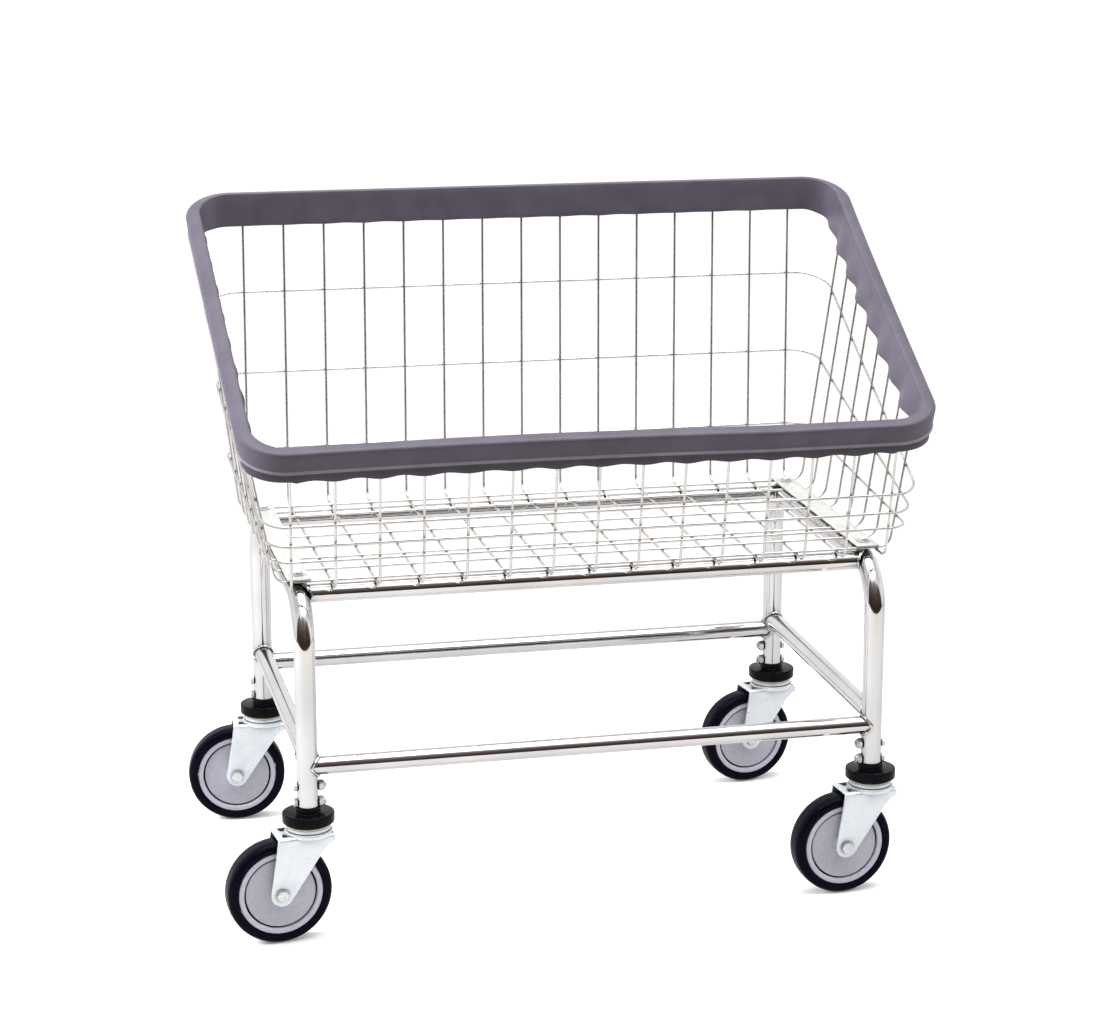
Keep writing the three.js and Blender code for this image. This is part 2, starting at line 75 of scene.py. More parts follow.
def middle(node, axis):
    return (low(node, axis) + high(node, axis)) / 2


def thickness(node, axis):
    return high(node, axis) - low(node, axis)


# Base frame.
TUBE_WALL = 0.0014
HOOP_RADIUS = thickness("left_hoop", 0) / 2
HOOP_BORE = HOOP_RADIUS - TUBE_WALL
HOOP_BEND = 0.057
HOOP_TOP_Z = high("left_hoop", 2) - HOOP_RADIUS
LEG_FOOT_Z = low("left_hoop", 2)
RAIL_RADIUS = thickness("left_side_rail", 2) / 2
RAIL_GAP = 0.0002  # between a rail's end and the tube it meets
TOP_RAIL_Y = middle("back_top_rail", 1) - MIDDLE.y
TOP_RAIL_Z = middle("back_top_rail", 2)
LOW_RAIL_Z = middle("back_lower_rail", 2)
SIDE_RAIL_Z = middle("left_side_rail", 2)
BEAD_RADIUS = 0.0021  # of the weld round a rail's end
BEAD_OUT = 0.6 * BEAD_RADIUS  # from the rail's skin to the bead's middle
BEAD_BACK = 0.4 * BEAD_RADIUS  # from the tube's skin to the bead's middle
TUBE_SIDES = 48
BEAD_RIPPLE = 210  # ripples a metre in its thickness
BEAD_SIDES = 10

# Basket.
WIRE_RADIUS = 0.0016
WIRE_SIDES = 12
WIRE_BEND = 0.016
PITCH = 0.052
CROSS_WIRES = 15
LENGTH_WIRES = 8
CROSS_Z = low("basket_crosswise_wires", 2) + WIRE_RADIUS
LENGTH_Z = low("basket_lengthwise_wires", 2) + WIRE_RADIUS
FLOOR_HALF_X = 0.379
FLOOR_FRONT_Y = -0.2115
FLOOR_BACK_Y = 0.2144
RIM_FRONT = Vector((0.410, -0.254, 0.594))  # the rim wire's right corners
RIM_BACK = Vector((0.4305, 0.238, 0.8215))
RIM_WIRE_RADIUS = 0.0032
RIM_WIRE_SIDES = 16
RIM_BEND = 0.048
WALL_TO_BAND = 0.0034
BANDS = {  # front and back heights, and the bends of the front and back corners
    "basket_upper_band": (0.5108, 0.7055, 0.030, 0.044),
    "basket_middle_band": (0.4864, 0.6012, 0.026, 0.038),
    "basket_lower_band": (0.4662, 0.5016, 0.024, 0.026),
}
NUGGET_RADIUS = 0.0012  # of the squeezed metal at a spot weld
NUGGET_HALF = 0.0014
NUGGET_SIDES = 8

# How far the basket is out of square, at the height of the rim.
LEFT_LEAN = (-0.0045, 0.0055)  # along X, at the front and at the back
RIGHT_LEAN = (-0.0020, 0.0)
BACK_RIGHT_LEAN = 0.005  # what the back right corner leans besides
BOW_HEIGHT = 0.0038
BOW_X = -0.12
BOW_HALF_WIDTH = 0.32

# Rim bumper, from the rim wire's centre.
BUMPER_HALF = 0.0095
BUMPER_TOP = 0.012
BUMPER_BAND = -0.0138  # the height of its welt
BUMPER_SKIRT = -0.027
BUMPER_SLOT = 0.0038
SLOT_FOOT = -0.014
SKIRT_DROP = 0.004  # how much deeper the skirt is at the back
OUTER_LIP = BUMPER_HALF - 0.0022
LEFT_LIP_CUT = 0.013  # how much shorter the inner lip is on the left side
LIP_EASE = 0.0006
LIP_ROUND = 0.0007
WELT_PROUD = 0.0011
SHOULDER = 0.0055
BROW = 0.0028
WANDER_SCALE = 14  # waves a metre of the unevenness along it
WANDER = 0.0010
FRONT_WAVE = 0.0026  # how far its outer and inner edges wave between the wires
INNER_WAVE = 0.0012
BULGE = 0.0009  # how far a wire squeezes its inner lip out
RIGHT_BULGE = 0.0048  # how much farther it does on the right side
OUTER_BULGE = 0.0007
WELT_SPAN = (5, 10)  # the section's edges that make up its thin welt, painted lighter as a highlight
BUMPER_STEP = 0.0065
BUMPER_JOINT_Y = 0.027
BUMPER_JOINT_GAP = 0.001
JOINT_SWELL = 0.05  # how much one end at the joint is swollen, as a share
JOINT_SHRINK = 0.03
JOINT_RINGS = 2  # how many sections that fades over

# Strips and fasteners.
STRIP_Z = low("left_hold_down_strip", 2)
STRIP_TOP = high("left_hold_down_strip", 2)
STRIP_HALF = (thickness("left_hold_down_strip", 0) / 2, thickness("left_hold_down_strip", 1) / 2)
STRIP_HOLE = 0.0036
SCREW_Y = 0.163
SCREW_CORNER = 0.0065
SCREW_HEAD = 0.004
SCREW_WASHER = 0.0075
SCREW_SHANK = 0.003
LEG_BOLT_HEIGHTS = {"lower": 0.1695, "upper": 0.1895}
LEG_BOLT = {
    "shank": 0.003, "head": 0.006, "head_height": 0.004,
    "nut": 0.007, "nut_height": 0.007, "tail": 0.002,
}
AXLE_BOLT = {
    "shank": 0.004, "head": 0.0075, "head_height": 0.0045,
    "nut": 0.0075, "nut_height": 0.0065, "tail": 0.0025,
}
BOLT_GAP = 0.0003
THREAD_CHAMFER = 0.0006
NUT_HEX = 0.72  # the height of a lock nut's hexagon, as a share of the nut's
NUT_COLLAR = 0.80  # its collar's radius, as a share of the hexagon's
HEX_STEPS = 48
HEX_CHAMFER = math.radians(30)
HEX_FACE = 0.96  # the flat of a head's end, as a share of the hexagon's inner radius
HEX_CORE = 0.3

# Casters, with the swivel axis on Z and the wheel trailing towards -X.
WHEEL_RADIUS = JOINTS["front_left_wheel_roll"]["pos_m"][2]
TRAIL = (Vector(JOINTS["front_left_wheel_roll"]["pos_m"]).to_2d() - LEGS["front_left"]).length
STEM_RADIUS = 0.0106
KINGPIN_RADIUS = 0.0068
KINGPIN_HOLE = 0.0072
STEM_HOLE = 0.0111
RING_BOSS = 0.0034  # how far the bumper ring's boss stands above its disc
COLLAR_RADIUS = 0.0150
COLLAR_HEIGHT = 0.0072
CUP_HEIGHT = 0.0042  # of the raceway's cup, up to its rolled lip
CROWN_RISE = 0.0026
CROWN_RADIUS = 0.029
FORK_TOP_Z = high("front_left_fork", 2)
FORK_PLATE_Z = FORK_TOP_Z - CROWN_RISE
FORK_TAIL_X = -0.041
FORK_BROW_X = 0.027
FORK_FOOT_RADIUS = 0.0135
SHEET = 0.003  # the fork's sheet steel
OUTER_FOLD = 0.0042
INNER_FOLD = 0.0014
CHEEK_INNER = 0.0195
EDGE_ROUND = 0.0005
CUT_CLEAR = 0.01  # how far a cutting shape reaches past what it cuts
AXLE_HOLE = 0.0044
WASHER_BORE = 0.0042
WASHER_RADIUS = 0.0084
WASHER_HEIGHT = 0.0009
SLEEVE_RADIUS = 0.006
TYRE_INNER = 0.0513
TYRE_HALF = 0.016
HUB_OUTER = 0.051
HUB_DISC = 0.0128  # half the hub's width at its disc, and at its raised rim
HUB_RIM = 0.0146
HUB_BOSS = 0.0190
HUB_BORE = 0.0063
WHEEL_SEGMENTS = 96


# ---- mesh building ----


class Shape:
    """Vertices and faces of a piece, added part by part, with a material index each."""

    def __init__(self):
        self.verts = []
        self.faces = []
        self.looks = []

    def add(self, verts, faces, look=0):
        first = len(self.verts)
        self.verts += verts
        self.faces += [[first + k for k in face] for face in faces]
        self.looks += [look] * len(faces)

    def loft(self, rings, closed=False, look=0):
        """Skins rings of equal counts. An open loft gets a face at each end."""
        count = len(rings[0])
        spans = len(rings) if closed else len(rings) - 1
        faces = []
        for span in range(spans):
            near, far = span * count, (span + 1) % len(rings) * count
            for k in range(count):
                turn = (k + 1) % count
                faces.append([near + k, near + turn, far + turn, far + k])
        if not closed:
            faces.append(list(range(count))[::-1])
            faces.append([spans * count + k for k in range(count)])
        self.add([point for ring in rings for point in ring], faces, look)


def to_mesh(name, shape, finishes, crease=35):
    mesh = bpy.data.meshes.new(name)
    mesh.from_pydata(shape.verts, [], shape.faces)
    for look in finishes:
        mesh.materials.append(looks[look])
    mesh.polygons.foreach_set("material_index", shape.looks)
    tidy_mesh(mesh, crease)
    return mesh


def tidy_mesh(mesh, crease=35):
    """Turns every face outwards and shades it smooth up to the crease angle."""
    work = bmesh.new()
    work.from_mesh(mesh)
    bmesh.ops.recalc_face_normals(work, faces=work.faces)
    work.to_mesh(mesh)
    work.free()
    mesh.polygons.foreach_set("use_smooth", [True] * len(mesh.polygons))
    mesh.set_sharp_from_angle(angle=math.radians(crease))


def linked(name, data):
    """A new object in the scene."""
    thing = bpy.data.objects.new(name, data)
    bpy.context.scene.collection.objects.link(thing)
    return thing


def show(name, mesh, body, nodes, place=CART):
    """Adds a mesh as a piece that rides on a body and stands for CAD nodes."""
    mesh.transform(place)
    piece = linked(name, mesh)
    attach(piece, body)
    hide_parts(*nodes)


def modified(mesh, steps):
    """The mesh after modifiers, each a (type, settings) pair."""
    holder = linked("temporary", mesh)
    for kind, settings in steps:
        modifier = holder.modifiers.new(kind, kind)
        for key, value in settings.items():
            setattr(modifier, key, value)
    evaluated = holder.evaluated_get(bpy.context.evaluated_depsgraph_get())
    result = bpy.data.meshes.new_from_object(evaluated)
    bpy.data.objects.remove(holder)
    return result


def combined(mesh, others):
    """Applies exact booleans, each an (operation, mesh) pair."""
    steps = []
    for operation, other in others:
        tool = linked("temporary", other)
        steps.append(("BOOLEAN", {"operation": operation, "object": tool, "solver": "EXACT"}))
    result = modified(mesh, steps)
    for _, settings in steps:
        bpy.data.objects.remove(settings["object"])
    return result


def bevel(angle):
    """A step that rounds the edges sharper than an angle in degrees."""
    limit = math.radians(angle)
    settings = {"segments": 2, "limit_method": "ANGLE", "angle_limit": limit}
    return ("BEVEL", {"width": EDGE_ROUND, **settings})


# ---- curves and sections ----

NEARLY_STRAIGHT = 1.5  # half the angle, in radians, of a corner that isn't rounded


def rounded_path(corners, radius_at, steps, closed=False):
    """A polyline with its corners rounded, each to radius_at(corner)."""
    path = []
    count = len(corners)
    for i, corner in enumerate(corners):
        if not closed and i in (0, count - 1):
            path.append(corner.copy())
            continue
        before = (corners[i - 1] - corner).normalized()
        after = (corners[(i + 1) % count] - corner).normalized()
        half = before.angle(after) / 2
        if half > NEARLY_STRAIGHT:
            path.append(corner.copy())
            continue
        radius = radius_at(corner)
        centre = corner + (before + after).normalized() * radius / math.sin(half)
        start = corner + before * radius / math.tan(half) - centre
        end = corner + after * radius / math.tan(half) - centre
        axis = start.cross(end).normalized()
        for step in range(steps + 1):
            turn = Matrix.Rotation((math.pi - 2 * half) * step / steps, 3, axis)
            path.append(centre + turn @ start)
    return path


def stations(path, up_at, closed=False):
    """(point, side, up) along a path; side is to the left of its direction."""
    placed = []
    count = len(path)
    for i, point in enumerate(path):
        last = path[i - 1] if closed or i > 0 else None
        following = path[(i + 1) % count] if closed or i < count - 1 else None
        incoming = (point - last).normalized() if last else Vector()
        outgoing = (following - point).normalized() if following else Vector()
        along = (incoming + outgoing).normalized()
        up = up_at(point)
        up = (up - along * up.dot(along)).normalized()
        placed.append((point, up.cross(along), up))
    return placed


def lofted(rings):
    shape = Shape()
    shape.loft(rings)
    return shape


def mix(a, b, share):
    return a + (b - a) * share


def clamped(value):
    return max(0.0, min(1.0, value))


def circle(radius, sides):
    turns = [2 * math.pi * k / sides for k in range(sides)]
    return [(radius * math.cos(a), radius * math.sin(a)) for a in turns]


def rings_along(path, section, up_at, closed=False):
    return [
        [point + side * s + up * u for s, u in section]
        for point, side, up in stations(path, up_at, closed)
    ]


def facing(x, y, z):
    return lambda point: Vector((x, y, z))


FACING_X, FACING_Y, FACING_UP = facing(1, 0, 0), facing(0, 1, 0), facing(0, 0, 1)


def add_rod(shape, path, radius, up_at, sides=WIRE_SIDES, closed=False):
    shape.loft(rings_along(path, circle(radius, sides), up_at, closed), closed)


def add_tube(shape, path, radius, bore, up_at):
    """A hollow tube: its outer skin, then its bore the other way back."""
    outer = rings_along(path, circle(radius, TUBE_SIDES), up_at)
    inner = rings_along(path, circle(bore, TUBE_SIDES), up_at)
    shape.loft(outer + inner[::-1], closed=True)


def add_turned(shape, profile, segments=64, look=0):
    """Turns (radius, height) pairs about Z. A profile off the axis closes on itself."""
    solid = profile[0][0] == 0
    kept = [(r, z) for r, z in profile if r > 0]
    rings = []
    for radius, height in kept:
        rings.append([Vector((x, y, height)) for x, y in circle(radius, segments)])
    shape.loft(rings, closed=not solid, look=look)


def arc(centre_r, centre_z, radius, start, end, steps=6):
    """(across, up) points of a section's arc, between two angles in degrees."""
    angles = [math.radians(start + (end - start) * k / steps) for k in range(steps + 1)]
    return [(centre_r + radius * math.cos(a), centre_z + radius * math.sin(a)) for a in angles]


def mirrored(half):
    """A profile that is the same above and below its middle."""
    return [(r, -z) for r, z in reversed(half)] + list(half)


def hexagon(corner, angle):
    """The radius of a hexagon at an angle, from the radius of its corners."""
    inner = corner * math.cos(math.pi / 6)
    return inner / math.cos((angle % (math.pi / 3)) - math.pi / 6)


def add_hex(shape, corner, bottom, top, both_ends=False):
    """A hexagon about Z, chamfered at its top end or at both."""
    inner = corner * math.cos(math.pi / 6)
    angles = [2 * math.pi * k / HEX_STEPS for k in range(HEX_STEPS)]
    corners = [(a, hexagon(corner, a)) for a in angles]

    def disc(share, height):
        return [Vector((x, y, height)) for x, y in circle(inner * share, HEX_STEPS)]

    def outline(end, inward):
        """The hexagon's edge at one end, moved inward where it is outside the end's flat."""
        edge = []
        for angle, radius in corners:
            height = end + inward * (radius - inner * HEX_FACE) * math.tan(HEX_CHAMFER)
            edge.append(Vector((radius * math.cos(angle), radius * math.sin(angle), height)))
        return edge

    rings = [disc(HEX_CORE, bottom)]
    if both_ends:
        rings.append(disc(HEX_FACE, bottom))
    rings.append(outline(bottom, 1 if both_ends else 0))
    rings.append(outline(top, -1))
    rings.append(disc(HEX_FACE, top))
    rings.append(disc(HEX_CORE, top))
    shape.loft(rings)


# ---- materials ----

NOISE_SPAN = (0.3, 0.7)  # where most of a noise pattern's values lie
COLOUR_SPAN = (0.35, 0.65)
CREVICE_SAMPLES = 8


class Graph:
    """A node tree whose nodes are added one after another."""

    def __init__(self, tree):
        self.nodes = tree.nodes
        self.links = tree.links

    def add(self, kind, inputs=None, **settings):
        """Adds a node. Inputs gives its sockets values or other nodes' outputs."""
        node = self.nodes.new("ShaderNode" + kind)
        for key, value in settings.items():
            setattr(node, key, value)
        for socket, value in (inputs or {}).items():
            if isinstance(value, bpy.types.NodeSocket):
                self.links.new(value, node.inputs[socket])
            else:
                node.inputs[socket].default_value = value
        return node

    def ramp(self, pattern, stops):
        """Colours along a pattern, from (place, colour) stops in rising order."""
        node = self.add("ValToRGB", {"Fac": pattern})
        elements = node.color_ramp.elements
        for element, (place, colour) in zip(list(elements), (stops[0], stops[-1])):
            element.position = place
            element.color = (*colour, 1)
        for place, colour in stops[1:-1]:
            elements.new(place).color = (*colour, 1)
        return node.outputs["Color"]

    def spread(self, value, span, result=(0.0, 1.0), eased=False):
        """A value taken from one span to another, evenly or eased at both ends."""
        inputs = dict(zip(("From Min", "From Max", "To Min", "To Max"), (*span, *result)))
        inputs["Value"] = value
        kind = "SMOOTHSTEP" if eased else "LINEAR"
        return self.add("MapRange", inputs, interpolation_type=kind).outputs["Result"]

    def blend(self, share, first, second):
        """The first colour where the share is 0, and the second where it is 1."""
        return self.add("Mix", {0: share, 6: first, 7: second}, data_type="RGBA").outputs[2]

    def seen_by_camera(self):
        return self.add("LightPath").outputs["Is Camera Ray"]


class Look(Graph):
    """A Principled material, patterned in its object's own axes."""

    def __init__(self, name, **sockets):
        self.material = bpy.data.materials.new(name)
        self.material.use_nodes = True
        super().__init__(self.material.node_tree)
        self.shader = self.nodes["Principled BSDF"]
        for socket, value in sockets.items():
            self.shader.inputs[socket.replace("_", " ")].default_value = value
        self.where = self.add("TexCoord").outputs["Object"]

    def noise(self, scale, detail):
        inputs = {"Scale": scale, "Detail": detail, "Vector": self.where}
        return self.add("TexNoise", inputs).outputs["Fac"]

    def cells(self, scale):
        return self.add("TexVoronoi", {"Scale": scale, "Vector": self.where}).outputs["Color"]

    def colour(self, pattern, dark, light, span=COLOUR_SPAN, painted_shade_depth=0.0):
        """A colour between dark and light, with painted shade: ambient occlusion darkens it in
        crevices up to a given depth.
        """
        colour = self.ramp(pattern, ((span[0], dark), (span[1], light)))
        # Ambient occlusion darkens the colour in crevices: this is painted shade.
        if painted_shade_depth:
            inputs = {"Distance": painted_shade_depth, "Color": colour}
            crevice = self.add("AmbientOcclusion", inputs, samples=CREVICE_SAMPLES)
            colour = crevice.outputs["Color"]
        self.links.new(colour, self.shader.inputs["Base Color"])

    def roughness(self, pattern, least, most):
        rough = self.spread(pattern, NOISE_SPAN, (least, most))
        self.links.new(rough, self.shader.inputs["Roughness"])

    def bump(self, pattern, height):
        node = self.add("Bump", {"Distance": height, "Height": pattern})
        self.links.new(node.outputs["Normal"], self.shader.inputs["Normal"])


def finish(name, dark, light, rough, scales, height, painted_shade_depth=0.0, **sockets):
    """A material whose colour, roughness and height vary with noise. The scales give
    each of the three its noise's scale and detail."""
    look = Look(name, **sockets)
    # A nonzero depth paints shade into the colour in crevices.
    look.colour(look.noise(*scales[0]), dark, light, painted_shade_depth=painted_shade_depth)
    look.roughness(look.noise(*scales[1]), *rough)
    look.bump(look.noise(*scales[2]), height)
    return look.material


# Kinds of finish: bright plating, nearly a mirror; blotched zinc from a bath; satin
# extruded vinyl; moulded plastic or rubber with a fine skin.
CHROME = {"scales": ((9, 3), (60, 4), (30, 2)), "height": 0.00002, "Metallic": 1.0}
ZINC = {"scales": ((55, 3), (140, 3), (420, 2)), "height": 0.00002, "Metallic": 0.5}
VINYL = {"scales": ((26, 5), (90, 4), (700, 3)), "height": 0.00012}
MOULDED = {"scales": ((300, 4), (150, 3), (900, 2)), "height": 0.00003}

METALS = {  # kind, dark and light colours, least and most roughness, depth of painted crevice shade
    "chrome_tube": (CHROME, (0.65, 0.65, 0.645), (0.75, 0.755, 0.75), (0.05, 0.10), 0.012),
    "chrome_wire": (CHROME, (0.68, 0.665, 0.64), (0.78, 0.765, 0.74), (0.24, 0.34), 0.006),
    "zinc_pressing": (ZINC, (0.85, 0.93, 0.99), (0.94, 0.99, 1.0), (0.26, 0.42), 0.016),
    "zinc_fastener": (ZINC, (0.66, 0.71, 0.74), (0.86, 0.90, 0.92), (0.2, 0.35), 0.016),
    "yellow_zinc": (ZINC, (0.78, 0.75, 0.60), (0.88, 0.86, 0.72), (0.26, 0.42), 0.016),
}
PLASTICS = {  # kind, dark and light colours, least and most roughness, specular level
    "vinyl": (VINYL, (0.083, 0.072, 0.102), (0.102, 0.089, 0.125), (0.40, 0.52), 0.5),
    # painted shade: the same vinyl darkened, for the skirt lying in the welt's shadow
    "vinyl_painted_shade": (VINYL, (0.034, 0.028, 0.043), (0.047, 0.039, 0.060), (0.40, 0.52), 0.5),
    # painted highlight: the same vinyl lightened, for the welt's lit line
    "vinyl_painted_highlight": (VINYL, (0.22, 0.19, 0.23), (0.27, 0.24, 0.28), (0.40, 0.52), 0.5),
    "black_plastic": (MOULDED, (0.0015, 0.0015, 0.003), (0.003, 0.003, 0.005), (0.16, 0.24), 0.08),
    "hub_plastic": (MOULDED, (0.49, 0.49, 0.56), (0.56, 0.56, 0.65), (0.38, 0.5), 0.4),
    "hub_rim_plastic": (MOULDED, (0.57, 0.57, 0.67), (0.64, 0.64, 0.75), (0.34, 0.44), 0.4),
    # painted shade: the groove between disc and rim is coloured near-black for its shadow
    "hub_groove_painted_shade": (MOULDED, (0.006, 0.006, 0.008), (0.010, 0.010, 0.012), (0.6, 0.7), 0.1),
    "tyre_rubber": (MOULDED, (0.0022, 0.0016, 0.006), (0.004, 0.003, 0.011), (0.2, 0.3), 0.05),
}


def galvanised():
    """Dull galvanised strip with small crystals, and painted shade in its crevices."""
    dark, light = (0.63, 0.635, 0.62), (0.76, 0.765, 0.74)
    look = Look("galvanised_strip", Metallic=0.55)
    look.colour(look.cells(160), dark, light, span=(0.2, 0.9), painted_shade_depth=0.014)
    look.roughness(look.noise(200, 3), 0.42, 0.6)
    look.bump(look.noise(500, 2), 0.00005)
    return look.material


def make_looks():
    made = {"galvanised_strip": galvanised()}
    for name, (kind, dark, light, rough, painted_shade_depth) in METALS.items():
        made[name] = finish(name, dark, light, rough, painted_shade_depth=painted_shade_depth, **kind)
    for name, (kind, dark, light, rough, specular) in PLASTICS.items():
        made[name] = finish(name, dark, light, rough, Specular_IOR_Level=specular, **kind)
    return made


looks = make_looks()


# ---- base frame ----


def hoop_path(x):
    outline = ((-LEG_Y, LEG_FOOT_Z), (-LEG_Y, HOOP_TOP_Z), (LEG_Y, HOOP_TOP_Z), (LEG_Y, LEG_FOOT_Z))
    corners = [Vector((x, y, z)) for y, z in outline]
    return rounded_path(corners, lambda corner: HOOP_BEND, 20)


def coped_ring(centre, out, across, tube_axis, radius, gap):
    """A closed line where a rail of some radius meets a tube, a gap from its skin."""
    ring = []
    for s, u in circle(radius, TUBE_SIDES):
        reach = math.sqrt(HOOP_RADIUS**2 - min(abs(s), HOOP_RADIUS) ** 2)
        ring.append(centre + across * s + tube_axis * u + out * (reach + gap))
    return ring


def add_coped_rail(shape, start, end, tube_axis):
    """A rail whose ends are cut to the round of the tubes it meets, and the bead of
    weld round each end."""
    along = (end - start).normalized()
    across = along.cross(tube_axis)
    ends = ((start, along), (end, -along))
    shape.loft([
        coped_ring(centre, out, across, tube_axis, RAIL_RADIUS, RAIL_GAP) for centre, out in ends
    ])
    for centre, out in ends:
        line = coped_ring(centre, out, across, tube_axis, RAIL_RADIUS + BEAD_OUT, BEAD_BACK)
        add_bead(shape, line, centre)


def add_bead(shape, line, centre):
    """A weld bead: a closed line of uneven thickness round a joint."""
    rings = []
    for point, side, up in stations(line, lambda p: p - centre, closed=True):
        swell = BEAD_RADIUS * (0.8 + 0.45 * noise.noise(point * BEAD_RIPPLE))
        rings.append([point + side * s + up * u for s, u in circle(swell, BEAD_SIDES)])
    shape.loft(rings, closed=True)


def show_tube(node, shape):
    show(node + "_tube", to_mesh("tube", shape, ["chrome_tube"]), "cart", [node])


def make_base_frame():
    for side, sign in SIDES.items():
        x = sign * LEG_X
        hoop = Shape()
        add_tube(hoop, hoop_path(x), HOOP_RADIUS, HOOP_BORE, FACING_X)
        show_tube(side + "_hoop", hoop)
        rail = Shape()
        ends = [Vector((x, y * LEG_Y, SIDE_RAIL_Z)) for y in (-1, 1)]
        add_coped_rail(rail, *ends, Vector((0, 0, 1)))
        show_tube(side + "_side_rail", rail)
    for end, sign in ENDS.items():
        for level, y, z, axis in (
            ("top", sign * TOP_RAIL_Y, TOP_RAIL_Z, Vector((0, 1, 0))),
            ("lower", sign * LEG_Y, LOW_RAIL_Z, Vector((0, 0, 1))),
        ):
            rail = Shape()
            ends = [Vector((x * LEG_X, y, z)) for x in (-1, 1)]
            add_coped_rail(rail, *ends, axis)
            show_tube(f"{end}_{level}_rail", rail)


# ---- basket ----


def rim_share(y):
    return (y - RIM_FRONT.y) / (RIM_BACK.y - RIM_FRONT.y)


def rim_z(y):
    return mix(RIM_FRONT.z, RIM_BACK.z, rim_share(y))


def rim_x(y):
    return mix(RIM_FRONT.x, RIM_BACK.x, rim_share(y))


def front_wall_y(z):
    return mix(FLOOR_FRONT_Y, RIM_FRONT.y, (z - CROSS_Z) / (RIM_FRONT.z - CROSS_Z))


def back_wall_y(z):
    return mix(FLOOR_BACK_Y, RIM_BACK.y, (z - CROSS_Z) / (RIM_BACK.z - CROSS_Z))


def side_wall_x(y, z):
    return mix(FLOOR_HALF_X, rim_x(y), (z - LENGTH_Z) / (rim_z(y) - LENGTH_Z))


def centred(count):
    return [(k - (count - 1) / 2) * PITCH for k in range(count)]


CROSS_XS = centred(CROSS_WIRES)
LENGTH_YS = centred(LENGTH_WIRES)


def add_wall_wire(shape, corners, up_at):
    add_rod(shape, rounded_path(corners, lambda corner: WIRE_BEND, 8), WIRE_RADIUS, up_at)


def add_crosswise_wire(shape, x):
    corners = [
        Vector((x, RIM_FRONT.y, RIM_FRONT.z)),
        Vector((x, FLOOR_FRONT_Y, CROSS_Z)),
        Vector((x, FLOOR_BACK_Y, CROSS_Z)),
        Vector((x, RIM_BACK.y, RIM_BACK.z)),
    ]
    add_wall_wire(shape, corners, FACING_X)


def add_lengthwise_wire(shape, y):
    end_z = rim_z(y) - RIM_WIRE_RADIUS
    end_x = side_wall_x(y, end_z)
    corners = [
        Vector((-end_x, y, end_z)),
        Vector((-FLOOR_HALF_X, y, LENGTH_Z)),
        Vector((FLOOR_HALF_X, y, LENGTH_Z)),
        Vector((end_x, y, end_z)),
    ]
    add_wall_wire(shape, corners, FACING_Y)


def mirror_x(point):
    return Vector((-point.x, point.y, point.z))


def settle(shape):
    """Knocks the basket a few millimetres out of square, as years of use have done: its
    rim leans left in front and right at the back, and bows up in front."""
    for point in shape.verts:
        share = clamped(rim_share(point.y))
        height = clamped((point.z - CROSS_Z) / (rim_z(point.y) - CROSS_Z))
        across = clamped(0.5 + point.x / (2 * rim_x(point.y)))
        left = mix(*LEFT_LEAN, share)
        right = mix(*RIGHT_LEAN, share) + BACK_RIGHT_LEAN * share**4
        bow = max(0.0, 1 - ((point.x - BOW_X) / BOW_HALF_WIDTH) ** 2)
        point.z += BOW_HEIGHT * bow * (1 - share) * height
        point.x += mix(left, right, across) * height


def rim_path(steps):
    right = [RIM_FRONT, RIM_BACK]
    corners = right + [mirror_x(corner) for corner in reversed(right)]
    return rounded_path(corners, lambda corner: RIM_BEND, steps, closed=True)


def band_corners(front_z, back_z):
    """A band's right side: its corners and the points where it crosses the wires."""
    lean = math.atan2(FLOOR_FRONT_Y - RIM_FRONT.y, RIM_FRONT.z - CROSS_Z)
    front_y = front_wall_y(front_z) - WALL_TO_BAND / math.cos(lean)
    back_y = back_wall_y(back_z) + WALL_TO_BAND
    rows = []
    for y in LENGTH_YS:
        z = mix(front_z, back_z, (y - front_y) / (back_y - front_y))
        rows.append(Vector((side_wall_x(y, z) + WALL_TO_BAND, y, z)))
    run = rows[1] - rows[0]
    front = rows[0] + run * ((front_y - rows[0].y) / run.y)
    back = rows[-1] + run * ((back_y - rows[-1].y) / run.y)
    return [front, *rows, back]


def add_band(shape, front_z, back_z, front_bend, back_bend):
    right = band_corners(front_z, back_z)
    corners = right + [mirror_x(point) for point in reversed(right)]
    path = rounded_path(corners, lambda c: front_bend if c.y < 0 else back_bend, 12, True)
    add_rod(shape, path, WIRE_RADIUS, FACING_UP, closed=True)


def add_nugget(shape, centre, along):
    """The little squeeze of metal where two crossing wires are spot welded."""
    other = along.orthogonal().normalized()
    third = along.cross(other)
    rings = []
    for height in (-0.85, -0.45, 0.0, 0.45, 0.85):
        radius = NUGGET_RADIUS * math.sqrt(1 - height**2)
        middle_point = centre + along * (NUGGET_HALF * height)
        rings.append([middle_point + other * s + third * u for s, u in circle(radius, NUGGET_SIDES)])
    shape.loft(rings)


def add_floor_welds(shape):
    for x in CROSS_XS:
        for y in LENGTH_YS:
            add_nugget(shape, Vector((x, y, (CROSS_Z + LENGTH_Z) / 2)), Vector((0, 0, 1)))


def add_band_welds(shape, front_z, back_z):
    """Welds of one band to the side, front and back walls."""
    corners = band_corners(front_z, back_z)
    for row in corners[1:-1]:
        spot = row - Vector((WALL_TO_BAND / 2, 0, 0))
        add_nugget(shape, spot, Vector((1, 0, 0)))
        add_nugget(shape, mirror_x(spot), Vector((1, 0, 0)))
    for x in CROSS_XS[1:-1]:
        for corner, inward in ((corners[0], 1), (corners[-1], -1)):
            spot = Vector((x, corner.y + inward * WALL_TO_BAND / 2, corner.z))
            add_nugget(shape, spot, Vector((0, 1, 0)))


def show_wires(name, mesh_name, shape, node):
    settle(shape)
    show(name, to_mesh(mesh_name, shape, ["chrome_wire"]), "cart", [node])


